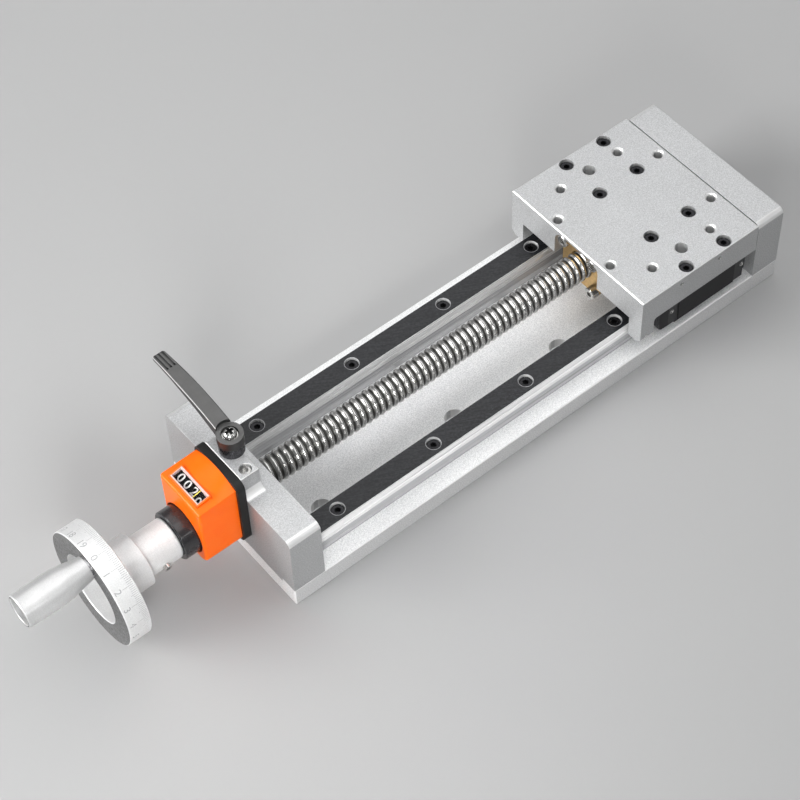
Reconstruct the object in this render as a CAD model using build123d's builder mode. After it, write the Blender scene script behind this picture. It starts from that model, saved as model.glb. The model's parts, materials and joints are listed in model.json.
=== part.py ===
from build123d import *
from math import cos, radians, sin
import os

# A manual linear slide: a handwheel turns a lead screw, and the screw moves a table along two rails.
# X runs along the travel with the handwheel at -X, Y across, Z up, all in millimetres.
# The origin is the centre of the base plate's underside.

# Base plate
base_length = 320.0
base_width = 100.0
base_thickness = 12.0
base_edge = 0.5
channel_width = 80.2
channel_depth = 2.5
mount_inner_pitch = 70.0
mount_outer_pitch = 240.0
mount_row_spacing = 38.0
mount_hole = 6.6
mount_counterbore = 11.0
mount_counterbore_depth = 6.5

# Rails
rail_spacing = 65.0
rail_width = 15.0
rail_height = 15.0
rail_top_width = 12.7
rail_top_edge = 0.35
rail_ridge_height = 11.2
rail_ridge_land = 0.6
rail_waist_width = 11.6
rail_waist_low = 6.4
rail_waist_high = 8.0
rail_foot_height = 4.0
rail_race_depth = 0.45
rail_end_gap = 1.5
rail_hole_pitch = 60.0
rail_hole_count = 5
rail_counterbore = 7.5
rail_counterbore_depth = 5.3

# End blocks
front_block_thickness = 18.2
rear_block_thickness = 17.6
block_top = 52.0
block_corner = 4.0
channel_fit = 0.1
boss_width = 28.4
boss_height = 13.8
boss_thickness = 10.6
boss_root = 5.0
boss_edge = 0.4
boss_screw_y = -10.2
boss_screw_inset = 5.6
boss_counterbore = 6.4
boss_counterbore_depth = 4.2
block_screw_spacing = 26.0
block_screw_count = 4
block_counterbore = 10.0
block_counterbore_depth = 5.6

# Lead screw, its nut and its bearings
screw_height = 35.0
screw_diameter = 15.6
journal_diameter = 10.0
shoulder_diameter = 12.6
shoulder_length = 2.0
shaft_hole = 16.6
bearing_outer = 22.0
bearing_width = 6.0
bearing_inner_ring = 13.2
shield_inset = 0.4
shield_land = 1.3
circlip_setback = 1.0
circlip_thickness = 1.1
circlip_groove = 0.6
circlip_width = 2.0
circlip_gap = 7.0
spacer_diameter = 13.0
spacer_length = 6.0
lock_nut_diameter = 15.0
lock_nut_length = 5.0
lock_nut_slots = 4
lock_nut_slot_width = 2.0
lock_nut_slot_depth = 1.2
nut_flange = 29.0
nut_flange_corner = 4.0
nut_flange_thickness = 9.0
nut_body = 25.0
nut_length = 44.0
nut_screw_spacing = 22.0
nut_edge = 0.5

# Table
table_length = 80.0
table_thickness = 18.5
table_rear_gap = 0.4
table_edge = 0.5
leg_length = 9.0
leg_width = 9.0
leg_drop = 13.3
leg_chamfer = 2.8
leg_fillet = 2.0
recess_width = 32.8
recess_roof = 2.1
recess_corner = 6.0
boss_wall_gap = 0.5
nut_boss_length = 36.0
nut_boss_drop = 14.0
nut_boss_corner = 5.0
channel_clearance = 1.8
table_counterbore = 8.0
table_counterbore_depth = 5.5
table_tap_long = 70.0
table_tap_short = 40.0
table_tap = 5.0
table_tap_depth = 12.0
table_countersink = 6.5
table_pin_hole = 7.0
side_tap = 2.5
side_tap_depth = 8.0
side_tap_pitch = 26.0
side_tap_drop = 4.7
foot_tap_inset = 4.2
foot_tap_rise = 3.2
foot_tap_depth = 6.0

# Carriages
carriage_height = 24.0
carriage_width = 34.0
carriage_bottom = 4.3
carriage_side_bottom = 8.5
carriage_foot_inset = 2.2
carriage_clearance = 0.25
carriage_setback = 2.7
carriage_leg_gap = 6.9
carriage_edge = 0.4
carriage_tap_spacing = 26.0
carriage_tap_depth = 6.0
cap_length = 9.6
cap_inset = 0.5
cap_bevel = 3.0
seal_length = 1.4
cap_screw_spacing = 23.0
cap_screw_height = 19.0

# Position counter
plate_thickness = 4.4
plate_width = 34.6
plate_bottom = 20.0
plate_top = 65.8
plate_corner = 4.5
plate_screw_spacing = 22.0
plate_screw_rise = 6.0
counter_width = 31.4
counter_depth = 21.5
counter_bottom = 21.0
counter_rear_crown = 66.6
counter_rear_shoulder = 62.5
counter_front_crown = 62.3
counter_front_shoulder = 61.6
counter_corner = 4.0
counter_front_edge = 1.6
counter_wall = 1.3
counter_opening = 28.0
window_setback = 15.1
window_length = 23.5
window_width = 8.2
window_proud = 0.3
window_depth = 1.8
window_side_wall = 1.5
window_end_wall = 1.1
pane_thickness = 1.0
drum_radius = 7.6
drum_width = 4.9
drum_gap = 0.3
drum_depth = 2.2
drum_wall_gap = 0.3
drum_names = ("hundreds", "tens", "units", "tenths")
drum_pin_diameter = 3.0
drum_pin_seat = 1.0
collar_diameter = 26.4
collar_length = 8.2
collar_inset = 1.0
collar_edge = 0.5
plate_bore = 16.0

# Handwheel and its turning handle
sleeve_diameter = 22.0
sleeve_length = 19.1
sleeve_round = 1.4
sleeve_screw_setback = 10.6
sleeve_screw_angle = 190.0
hub_diameter = 28.6
hub_length = 14.3
hub_screw_setback = 7.0
hub_screw_angle = -60.0
wheel_diameter = 63.0
wheel_width = 12.2
wheel_recess = 38.0
wheel_recess_depth = 8.6
wheel_edge = 0.4
shaft_end_inset = 1.2
handle_offset = 24.0
handle_angle = 98.1
handle_length = 36.5
handle_neck = 12.8
handle_belly = 17.6
handle_belly_start = 17.5
handle_belly_end = 29.5
handle_mouth = 17.2
handle_bore = 14.5
handle_bore_depth = 27.0
handle_flare = 0.12
handle_edge = 0.5
handle_side_gap = 0.3
spindle_diameter = 8.0
spindle_flange = 11.0
spindle_flange_thickness = 1.0
spindle_thread_length = 10.0
spindle_head = 12.6
spindle_head_height = 4.0
spindle_socket = 5.0

# Clamp lever
lever_setback = 7.7
lever_y = 3.0
lever_gap = 0.2
lever_collar_diameter = 12.8
lever_collar_height = 6.6
lever_hub_diameter = 13.4
lever_hub_height = 5.5
lever_seam = 0.5
lever_reach = 57.5
lever_root_width = 8.7
lever_middle_width = 8.3
lever_tip_width = 7.0
lever_tip_round = 1.5
lever_root_rise = 0.6
lever_crest_rise = 5.6
lever_crest_at = 33.0
lever_crest_depth = 3.9
lever_tip_rise = 4.6
lever_tip_depth = 2.5
lever_heel = 5.5
lever_edge = 0.9
lever_groove_length = 12.0
lever_groove_width = 1.1
lever_groove_depth = 0.45
lever_groove_spacing = 2.1
lever_groove_count = 3
lever_recess = 8.6
lever_recess_depth = 1.8
lever_neck = 7.6
lever_neck_height = 2.2
stud_diameter = 4.0
stud_length = 18.4
pad_length = 5.3
pad_gap = 0.3

# Fasteners: thread, head, head height and key size of each kind
m2_thread = 2.0
m2_head = 3.8
m2_head_height = 1.3
m3_thread = 3.0
m3_head = 5.5
m3_head_height = 3.0
m3_key = 2.5
m4_thread = 4.0
m4_head = 7.0
m4_head_height = 4.0
m4_key = 3.0
m4_clearance_hole = 4.5
m5_thread = 5.0
m5_head = 8.5
m5_head_height = 5.0
m5_key = 4.0
m5_clearance_hole = 5.5
rail_screw_length = 16.0
table_screw_length = 18.0
nut_screw_length = 16.0
block_screw_length = 16.0
boss_screw_length = 10.0
plate_screw_length = 8.0
cap_screw_length = 9.0
leg_screw_length = 5.0
lever_screw_length = 5.5
grub_length = 7.9
grub_key = 2.0
key_depth_share = 0.5
head_chamfer = 0.3
pan_round_share = 0.6

# Fits, as the gap on each side
seat_fit = 0.02
thread_fit = 0.05
running_fit = 0.05
tap_run_out = 1.2

# Places worked out from the sizes
rail_seat = base_thickness - channel_depth
rail_top = rail_seat + rail_height
table_bottom = rail_seat + carriage_height
table_top = table_bottom + table_thickness
block_front = -base_length / 2
front_face = block_front + front_block_thickness
block_rear = base_length / 2
rear_face = block_rear - rear_block_thickness
middle_x = (front_face + rear_face) / 2
front_block_x = (block_front + front_face) / 2
rear_block_x = (rear_face + block_rear) / 2
rail_length = rear_face - front_face - 2 * rail_end_gap
table_rear = rear_face - table_rear_gap
table_front = table_rear - table_length
table_x = (table_front + table_rear) / 2
flange_front = table_front + m4_head_height
flange_rear = flange_front + nut_flange_thickness
nut_rear = flange_front + nut_length
carriage_ends = 2 * (cap_length + seal_length)
carriage_length = table_length - leg_length - carriage_leg_gap - carriage_ends - carriage_setback
carriage_x = table_rear - carriage_setback - (carriage_ends + carriage_length) / 2
foot_tap_x = table_front + foot_tap_inset
foot_tap_z = table_bottom - leg_drop + foot_tap_rise
boss_top = block_top + boss_height
lever_x = block_front + lever_setback
front_bearing_x = front_face - circlip_setback - circlip_thickness
front_shoulder_x = front_bearing_x - bearing_width
rear_bearing_x = block_rear - circlip_setback - circlip_thickness - bearing_width
spacer_front = front_shoulder_x - spacer_length
lock_nut_front = spacer_front - lock_nut_length
plate_front = block_front - plate_thickness
counter_front = plate_front - counter_depth
collar_front = counter_front - collar_length
sleeve_front = collar_front - sleeve_length
wheel_rear = sleeve_front - hub_length
sleeve_screw_x = collar_front - sleeve_screw_setback
hub_screw_x = sleeve_front - hub_screw_setback
wheel_front = wheel_rear - wheel_width
handle_y = handle_offset * cos(radians(handle_angle))
handle_z = screw_height + handle_offset * sin(radians(handle_angle))
handle_start = wheel_front - spindle_flange_thickness - handle_side_gap

screw_axis = Axis((0, 0, screw_height), (1, 0, 0))
handle_axis = Axis((0, handle_y, handle_z), (1, 0, 0))
turning_plane = Plane(origin=(0, 0, screw_height), x_dir=(1, 0, 0), z_dir=(0, -1, 0))
handle_plane = Plane(origin=(0, handle_y, handle_z), x_dir=(1, 0, 0), z_dir=(0, -1, 0))
sides = {"left": rail_spacing / 2, "right": -rail_spacing / 2}

os.makedirs("parts", exist_ok=True)


def save(piece, name):
    """Label a finished piece and write it to its own file."""
    piece.label = name
    export_step(piece, f"parts/{name}.step")


def across(x, y=0.0, z=0.0):
    """The plane across the travel at x, with Y to its right and Z up."""
    return Plane(origin=(x, y, z), x_dir=(0, 1, 0), z_dir=(1, 0, 0))


def facing_front(x, z=0.0):
    """The plane that faces the handwheel's end at x, with -Y to its right and Z up."""
    return Plane(origin=(x, 0, z), x_dir=(0, -1, 0), z_dir=(-1, 0, 0))


def facing_left(x, y, z):
    """The plane that faces +Y, with X to its right and -Z up."""
    return Plane(origin=(x, y, z), x_dir=(1, 0, 0), z_dir=(0, 1, 0))


def socket_screw(thread, head, head_height, key, length):
    """A socket cap screw whose head sits on the XY plane, with its shank below."""
    with BuildPart() as screw:
        with BuildSketch():
            Circle(thread / 2)
        extrude(amount=-length)
        with BuildSketch():
            Circle(head / 2)
        extrude(amount=head_height)
        chamfer(screw.edges().group_by(Axis.Z)[-1], head_chamfer)
        with BuildSketch(Plane.XY.offset(head_height)):
            RegularPolygon(key / 2, 6, major_radius=False)
        extrude(amount=-head_height * key_depth_share, mode=Mode.SUBTRACT)
    return screw.part


def pan_screw(thread, head, head_height, length):
    """A pan head screw with a domed head on the XY plane and its shank below."""
    with BuildPart() as screw:
        with BuildSketch():
            Circle(thread / 2)
        extrude(amount=-length)
        with BuildSketch():
            Circle(head / 2)
        extrude(amount=head_height)
        fillet(screw.edges().group_by(Axis.Z)[-1], head_height * pan_round_share)
    return screw.part


def bearing_outer_ring(x):
    """A shielded outer ring that starts at x and runs along +X."""
    inner = bearing_inner_ring / 2 + running_fit
    outer = bearing_outer / 2
    with BuildPart() as ring:
        with BuildSketch(turning_plane):
            with BuildLine():
                Polyline(
                    (x + shield_inset, inner),
                    (x + shield_inset, outer - shield_land),
                    (x, outer - shield_land),
                    (x, outer),
                    (x + bearing_width, outer),
                    (x + bearing_width, outer - shield_land),
                    (x + bearing_width - shield_inset, outer - shield_land),
                    (x + bearing_width - shield_inset, inner),
                    close=True,
                )
            make_face()
        revolve(axis=screw_axis)
    return ring.part


def ring_along_screw(x, length, inner, outer):
    """A plain ring about the screw's axis that starts at x and runs along +X."""
    with BuildPart() as ring:
        with BuildSketch(across(x, 0, screw_height)):
            Circle(outer / 2)
            Circle(inner / 2, mode=Mode.SUBTRACT)
        extrude(amount=length)
    return ring.part


# Base plate, milled with a shallow channel that the rails and the end blocks stand in
with BuildPart() as base_plate:
    with BuildSketch():
        Rectangle(base_length, base_width)
    extrude(amount=base_thickness)
    chamfer(base_plate.edges(), base_edge)
    with BuildSketch(Plane.XY.offset(base_thickness)):
        Rectangle(base_length, channel_width)
    extrude(amount=-channel_depth, mode=Mode.SUBTRACT)
    for pitch in (mount_inner_pitch, mount_outer_pitch):
        with Locations((middle_x, 0, rail_seat)):
            with GridLocations(pitch, mount_row_spacing, 2, 2):
                CounterBoreHole(mount_hole / 2, mount_counterbore / 2, mount_counterbore_depth)
    with Locations((middle_x, 0, rail_seat)):
        with GridLocations(rail_hole_pitch, rail_spacing, rail_hole_count, 2):
            Hole(
                m4_thread / 2 + thread_fit,
                rail_screw_length - rail_height + rail_counterbore_depth + tap_run_out,
            )
    for x in (front_block_x, rear_block_x):
        with Locations(Plane(origin=(x, 0, 0), x_dir=(1, 0, 0), z_dir=(0, 0, -1))):
            with GridLocations(0, block_screw_spacing, 1, block_screw_count):
                CounterBoreHole(m5_clearance_hole / 2, block_counterbore / 2, block_counterbore_depth)
save(base_plate.part, "base_plate")

# Rail section, drawn over its own seat: foot, waist with the lower races, ridge, upper races, flat top
with BuildSketch() as rail_outline:
    with BuildLine():
        foot = Polyline(
            (0, 0),
            (rail_width / 2, 0),
            (rail_width / 2, rail_foot_height),
            (rail_waist_width / 2, rail_waist_low),
            (rail_waist_width / 2, rail_waist_high),
        )
        lower_race = SagittaArc(foot @ 1, (rail_width / 2, rail_ridge_height), rail_race_depth)
        ridge = Line(lower_race @ 1, (rail_width / 2, rail_ridge_height + rail_ridge_land))
        upper_race = SagittaArc(
            ridge @ 1, (rail_top_width / 2, rail_height - rail_top_edge), rail_race_depth
        )
        Polyline(
            upper_race @ 1,
            (rail_top_width / 2 - rail_top_edge, rail_height),
            (0, rail_height),
        )
        mirror(about=Plane.YZ)
    make_face()

# The room that a carriage leaves around the rail
with BuildSketch() as rail_room:
    add(rail_outline.sketch)
    offset(amount=carriage_clearance, kind=Kind.INTERSECTION)


def carriage_section(inset):
    """A carriage's section over the rail seat, its outer sides drawn in by the inset."""
    half = carriage_width / 2 - inset
    with BuildSketch() as section:
        with BuildLine():
            Polyline(
                (0, carriage_bottom + inset),
                (half - carriage_foot_inset, carriage_bottom + inset),
                (half, carriage_side_bottom),
                (half, carriage_height - inset),
                (0, carriage_height - inset),
            )
            mirror(about=Plane.YZ)
        make_face()
        add(rail_room.sketch, mode=Mode.SUBTRACT)
    return section.sketch


for side, y in sides.items():
    with BuildPart() as rail:
        with BuildSketch(across(front_face + rail_end_gap, y, rail_seat)):
            add(rail_outline.sketch)
        extrude(amount=rail_length)
        with Locations((middle_x, y, rail_top)):
            with GridLocations(rail_hole_pitch, 0, rail_hole_count, 1):
                CounterBoreHole(m4_clearance_hole / 2, rail_counterbore / 2, rail_counterbore_depth)
    save(rail.part, f"{side}_rail")

    with BuildPart() as carriage:
        with BuildSketch(across(carriage_x - carriage_length / 2, y, rail_seat)):
            add(carriage_section(0))
        extrude(amount=carriage_length)
        chamfer(carriage.edges().filter_by(Axis.X).group_by(Axis.Z)[-1], carriage_edge)
        with Locations((carriage_x, y, table_bottom)):
            with GridLocations(carriage_tap_spacing, carriage_tap_spacing, 2, 2):
                Hole(m4_thread / 2 + thread_fit, carriage_tap_depth)
    save(carriage.part, f"{side}_carriage")

    for end, facing in (("front", -1), ("rear", 1)):
        cap_x = carriage_x + facing * carriage_length / 2
        with BuildPart() as cap:
            with BuildSketch(across(cap_x, y, rail_seat)):
                add(carriage_section(cap_inset))
            extrude(amount=facing * cap_length)
            cap_end = cap.faces().sort_by(Axis.X)[0 if facing < 0 else -1]
            chamfer(
                [cap_end.edges().sort_by(Axis.Y)[0], cap_end.edges().sort_by(Axis.Y)[-1]],
                cap_bevel,
            )
            with BuildSketch(across(cap_x, y, rail_seat)):
                with Locations((0, cap_screw_height)):
                    with GridLocations(cap_screw_spacing, 0, 2, 1):
                        Circle(m2_thread / 2 + thread_fit)
            extrude(amount=facing * cap_length, mode=Mode.SUBTRACT)
        save(cap.part, f"{side}_{end}_cap")

# Wiper seals, one plate at the outer end of each cap
with BuildPart() as carriage_seals:
    for y in sides.values():
        for facing in (-1, 1):
            seal_x = carriage_x + facing * (carriage_length / 2 + cap_length)
            with BuildSketch(across(seal_x, y, rail_seat)) as seal_face:
                add(carriage_section(cap_inset + cap_bevel))
                with Locations((0, cap_screw_height)):
                    with GridLocations(cap_screw_spacing, 0, 2, 1):
                        Circle(m2_thread / 2 + thread_fit, mode=Mode.SUBTRACT)
            extrude(amount=facing * seal_length)
save(carriage_seals.part, "carriage_seals")

# The screws that hold the rails, the carriages and their caps
with BuildPart() as rail_screws:
    with Locations((middle_x, 0, rail_top - rail_counterbore_depth)):
        with GridLocations(rail_hole_pitch, rail_spacing, rail_hole_count, 2):
            add(socket_screw(m4_thread, m4_head, m4_head_height, m4_key, rail_screw_length))
save(rail_screws.part, "rail_screws")

with BuildPart() as table_screws:
    for y in sides.values():
        with Locations((carriage_x, y, table_top - table_counterbore_depth)):
            with GridLocations(carriage_tap_spacing, carriage_tap_spacing, 2, 2):
                add(socket_screw(m4_thread, m4_head, m4_head_height, m4_key, table_screw_length))
save(table_screws.part, "table_screws")

with BuildPart() as cap_screws:
    for y in sides.values():
        for facing in (-1, 1):
            x = carriage_x + facing * (carriage_length / 2 + cap_length + seal_length)
            cap_end = Plane(
                origin=(x, y, rail_seat + cap_screw_height), x_dir=(0, 1, 0), z_dir=(facing, 0, 0)
            )
            with Locations(cap_end):
                with GridLocations(cap_screw_spacing, 0, 2, 1):
                    add(pan_screw(m2_thread, m2_head, m2_head_height, cap_screw_length))
save(cap_screws.part, "cap_screws")

# End block outline: a slab with two rounded upper corners and a tongue for the channel
with BuildSketch() as block_outline:
    with Locations((0, base_thickness)):
        Rectangle(base_width, block_top - base_thickness, align=(Align.CENTER, Align.MIN))
    fillet(block_outline.vertices().group_by(Axis.Y)[-1], block_corner)
    with Locations((0, rail_seat)):
        Rectangle(channel_width - 2 * channel_fit, channel_depth, align=(Align.CENTER, Align.MIN))

# Front block with the boss that carries the clamp lever
with BuildPart() as front_block:
    with BuildSketch(across(block_front)):
        add(block_outline.sketch)
    extrude(amount=front_block_thickness)
    with BuildSketch(across(block_front)) as boss_outline:
        add(block_outline.sketch)
        with Locations((0, block_top)):
            Rectangle(boss_width, boss_height, align=(Align.CENTER, Align.MIN))
        fillet(boss_outline.vertices().sort_by_distance((0, block_top))[:2], boss_root)
    extrude(amount=boss_thickness)
    chamfer(front_block.faces().sort_by(Axis.Z)[-1].edges(), boss_edge)
    with BuildSketch(across(front_face, 0, screw_height)):
        Circle(bearing_outer / 2 + seat_fit)
    extrude(amount=front_shoulder_x - front_face, mode=Mode.SUBTRACT)
    with BuildSketch(across(front_face - circlip_setback, 0, screw_height)):
        Circle(bearing_outer / 2 + circlip_groove)
    extrude(amount=-circlip_thickness, mode=Mode.SUBTRACT)
    with BuildSketch(across(block_front, 0, screw_height)):
        Circle(shaft_hole / 2)
    extrude(amount=front_block_thickness, mode=Mode.SUBTRACT)
    with Locations((lever_x, lever_y, boss_top)):
        Hole(stud_diameter / 2 + running_fit, boss_top - screw_height)
    with Locations((block_front + boss_screw_inset, boss_screw_y, boss_top)):
        CounterBoreHole(
            m3_thread / 2 + thread_fit,
            boss_counterbore / 2,
            boss_counterbore_depth,
            boss_counterbore_depth + boss_screw_length + tap_run_out,
        )
    with Locations(Plane(origin=(front_block_x, 0, rail_seat), z_dir=(0, 0, -1))):
        with GridLocations(0, block_screw_spacing, 1, block_screw_count):
            Hole(m5_thread / 2 + thread_fit, block_screw_length)
    with Locations(facing_front(block_front, plate_bottom + plate_screw_rise)):
        with GridLocations(plate_screw_spacing, 0, 2, 1):
            Hole(m3_thread / 2 + thread_fit, plate_screw_length)
save(front_block.part, "front_block")

# Rear block, bored from its outer face for the floating bearing
with BuildPart() as rear_block:
    with BuildSketch(across(rear_face)):
        add(block_outline.sketch)
    extrude(amount=rear_block_thickness)
    with BuildSketch(across(block_rear, 0, screw_height)):
        Circle(bearing_outer / 2 + seat_fit)
    extrude(amount=rear_bearing_x - block_rear, mode=Mode.SUBTRACT)
    with BuildSketch(across(block_rear - circlip_setback, 0, screw_height)):
        Circle(bearing_outer / 2 + circlip_groove)
    extrude(amount=-circlip_thickness, mode=Mode.SUBTRACT)
    with BuildSketch(across(rear_face, 0, screw_height)):
        Circle(shaft_hole / 2)
    extrude(amount=rear_block_thickness, mode=Mode.SUBTRACT)
    with Locations(Plane(origin=(rear_block_x, 0, rail_seat), z_dir=(0, 0, -1))):
        with GridLocations(0, block_screw_spacing, 1, block_screw_count):
            Hole(m5_thread / 2 + thread_fit, block_screw_length)
save(rear_block.part, "rear_block")

# Block screws, put in from under the base
with BuildPart() as block_screws:
    for x in (front_block_x, rear_block_x):
        with Locations(Plane(origin=(x, 0, block_counterbore_depth), z_dir=(0, 0, -1))):
            with GridLocations(0, block_screw_spacing, 1, block_screw_count):
                add(socket_screw(m5_thread, m5_head, m5_head_height, m5_key, block_screw_length))
save(block_screws.part, "block_screws")

with BuildPart() as boss_screw:
    with Locations((block_front + boss_screw_inset, boss_screw_y, boss_top - boss_counterbore_depth)):
        add(socket_screw(m3_thread, m3_head, m3_head_height, m3_key, boss_screw_length))
save(boss_screw.part, "boss_screw")

# Bearings: outer rings in the blocks, inner rings on the screw's journals
for name, x in (("front", front_shoulder_x), ("rear", rear_bearing_x)):
    save(bearing_outer_ring(x), f"{name}_bearing_outer")
    inner_ring = ring_along_screw(x, bearing_width, journal_diameter + 2 * seat_fit, bearing_inner_ring)
    save(inner_ring, f"{name}_bearing_inner")

# Circlips that keep the outer rings in their bores
with BuildPart() as circlips:
    for x in (front_face - circlip_setback, block_rear - circlip_setback):
        with BuildSketch(across(x, 0, screw_height)):
            Circle(bearing_outer / 2 + circlip_groove - seat_fit)
            Circle(bearing_outer / 2 - circlip_width, mode=Mode.SUBTRACT)
            with Locations((0, -bearing_outer / 2)):
                Rectangle(circlip_gap, bearing_outer / 2, mode=Mode.SUBTRACT)
        extrude(amount=-circlip_thickness)
save(circlips.part, "circlips")

# Lead screw: wheel end, front journal, shoulder, threaded length, shoulder, rear journal
with BuildPart() as lead_screw:
    shaft_start = wheel_rear - (wheel_width - wheel_recess_depth) + shaft_end_inset
    rear_shoulder_x = rear_bearing_x
    with BuildSketch(turning_plane):
        with BuildLine():
            Polyline(
                (shaft_start, 0),
                (shaft_start, journal_diameter / 2),
                (front_bearing_x, journal_diameter / 2),
                (front_bearing_x, shoulder_diameter / 2),
                (front_bearing_x + shoulder_length, shoulder_diameter / 2),
                (front_bearing_x + shoulder_length, screw_diameter / 2),
                (rear_shoulder_x - shoulder_length, screw_diameter / 2),
                (rear_shoulder_x - shoulder_length, shoulder_diameter / 2),
                (rear_shoulder_x, shoulder_diameter / 2),
                (rear_shoulder_x, journal_diameter / 2),
                (rear_shoulder_x + bearing_width + circlip_thickness, journal_diameter / 2),
                (rear_shoulder_x + bearing_width + circlip_thickness, 0),
                close=True,
            )
        make_face()
    revolve(axis=screw_axis)
save(lead_screw.part, "lead_screw")

journal_bore = journal_diameter + 2 * seat_fit
clamp_ring = ring_along_screw(spacer_front, spacer_length, journal_bore, spacer_diameter)
save(clamp_ring, "clamp_ring")

# Slotted lock nut that draws the inner ring against the screw's shoulder
with BuildPart() as lock_nut:
    add(ring_along_screw(lock_nut_front, lock_nut_length, journal_bore, lock_nut_diameter))
    with BuildSketch(across(lock_nut_front, 0, screw_height)):
        with PolarLocations(lock_nut_diameter / 2, lock_nut_slots):
            Rectangle(2 * lock_nut_slot_depth, lock_nut_slot_width)
    extrude(amount=lock_nut_length, mode=Mode.SUBTRACT)
save(lock_nut.part, "lock_nut")

# Bronze nut with a square flange
with BuildPart() as lead_nut:
    with BuildSketch(across(flange_front, 0, screw_height)):
        RectangleRounded(nut_flange, nut_flange, nut_flange_corner)
    extrude(amount=nut_flange_thickness)
    chamfer(lead_nut.faces().sort_by(Axis.X)[0].edges(), nut_edge)
    with BuildSketch(across(flange_rear, 0, screw_height)):
        Circle(nut_body / 2)
    extrude(amount=nut_rear - flange_rear)
    chamfer(lead_nut.faces().sort_by(Axis.X)[-1].edges(), nut_edge)
    with BuildSketch(across(flange_front, 0, screw_height)):
        Circle(screw_diameter / 2 + running_fit)
        with GridLocations(nut_screw_spacing, nut_screw_spacing, 2, 2):
            Circle(m4_clearance_hole / 2)
    extrude(amount=nut_length, mode=Mode.SUBTRACT)
save(lead_nut.part, "lead_nut")

with BuildPart() as nut_screws:
    with Locations(facing_front(flange_front, screw_height)):
        with GridLocations(nut_screw_spacing, nut_screw_spacing, 2, 2):
            add(socket_screw(m4_thread, m4_head, m4_head_height, m4_key, nut_screw_length))
save(nut_screws.part, "nut_screws")

# Table: a plate with two front legs, a recess for the nut's flange and a boss for its body
with BuildPart() as table:
    with BuildSketch(Plane.XY.offset(table_bottom)):
        with Locations((table_x, 0)):
            Rectangle(table_length, base_width)
    extrude(amount=table_thickness)
    chamfer(table.edges().group_by(Axis.Z)[-1], table_edge)
    for facing in (-1, 1):
        with BuildSketch(across(table_front, facing * base_width / 2, table_bottom)):
            with BuildLine():
                Polyline(
                    (0, 0),
                    (0, leg_chamfer - leg_drop),
                    (-facing * leg_chamfer, -leg_drop),
                    (-facing * leg_width, -leg_drop),
                    (-facing * leg_width, 0),
                    close=True,
                )
            make_face()
        extrude(amount=leg_length)
    leg_roots = table.edges().filter_by(Axis.Y).filter_by(
        lambda edge: abs(edge.center().Z - table_bottom) < running_fit
        and abs(edge.center().X - table_front - leg_length) < running_fit
    )
    fillet(leg_roots, leg_fillet)
    with BuildSketch(across(flange_rear, 0, table_bottom)) as nut_boss:
        Rectangle(
            rail_spacing - carriage_width - 2 * boss_wall_gap,
            nut_boss_drop,
            align=(Align.CENTER, Align.MAX),
        )
        fillet(nut_boss.vertices().group_by(Axis.Y)[0], nut_boss_corner)
    extrude(amount=nut_boss_length)
    with BuildSketch(across(table_front, 0, table_top - recess_roof)) as recess:
        Rectangle(recess_width, table_thickness + leg_drop, align=(Align.CENTER, Align.MAX))
        fillet(recess.vertices().group_by(Axis.Y)[-1], recess_corner)
    extrude(amount=flange_rear - table_front, mode=Mode.SUBTRACT)
    with BuildSketch(across(flange_rear, 0, screw_height)):
        Circle(nut_body / 2 + seat_fit)
    extrude(amount=nut_boss_length, mode=Mode.SUBTRACT)
    with BuildSketch(across(flange_rear, 0, screw_height)):
        Circle(screw_diameter / 2 + channel_clearance)
        Rectangle(
            screw_diameter + 2 * channel_clearance,
            screw_height - table_bottom,
            align=(Align.CENTER, Align.MAX),
        )
    extrude(amount=table_rear - flange_rear, mode=Mode.SUBTRACT)
    with Locations(facing_front(flange_rear, screw_height)):
        with GridLocations(nut_screw_spacing, nut_screw_spacing, 2, 2):
            Hole(m4_thread / 2 + thread_fit, nut_screw_length - nut_flange_thickness + tap_run_out)
    for y in sides.values():
        with Locations((carriage_x, y, table_top)):
            with GridLocations(carriage_tap_spacing, carriage_tap_spacing, 2, 2):
                CounterBoreHole(m4_clearance_hole / 2, table_counterbore / 2, table_counterbore_depth)
    with Locations((table_x, 0, table_top)):
        for long, short in ((table_tap_long, table_tap_short), (table_tap_short, table_tap_long)):
            with GridLocations(long, short, 2, 2):
                CounterSinkHole(table_tap / 2, table_countersink / 2, table_tap_depth)
        with GridLocations(0, table_tap_long, 1, 2):
            Hole(table_pin_hole / 2, table_tap_depth)
    side_face = Plane(
        origin=(table_x, -base_width / 2, table_top - side_tap_drop), x_dir=(1, 0, 0), z_dir=(0, -1, 0)
    )
    with Locations(side_face):
        with GridLocations(side_tap_pitch, 0, 2, 1):
            Hole(side_tap / 2, side_tap_depth)
    for facing in (-1, 1):
        foot = Plane(origin=(foot_tap_x, facing * base_width / 2, foot_tap_z), z_dir=(0, facing, 0))
        with Locations(foot):
            Hole(m3_thread / 2 + thread_fit, foot_tap_depth)
save(table.part, "table")

with BuildPart() as leg_screw:
    with Locations(facing_left(foot_tap_x, base_width / 2, foot_tap_z)):
        add(pan_screw(m3_thread, m3_head, m3_head_height / 2, leg_screw_length))
save(leg_screw.part, "leg_screw")

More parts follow.
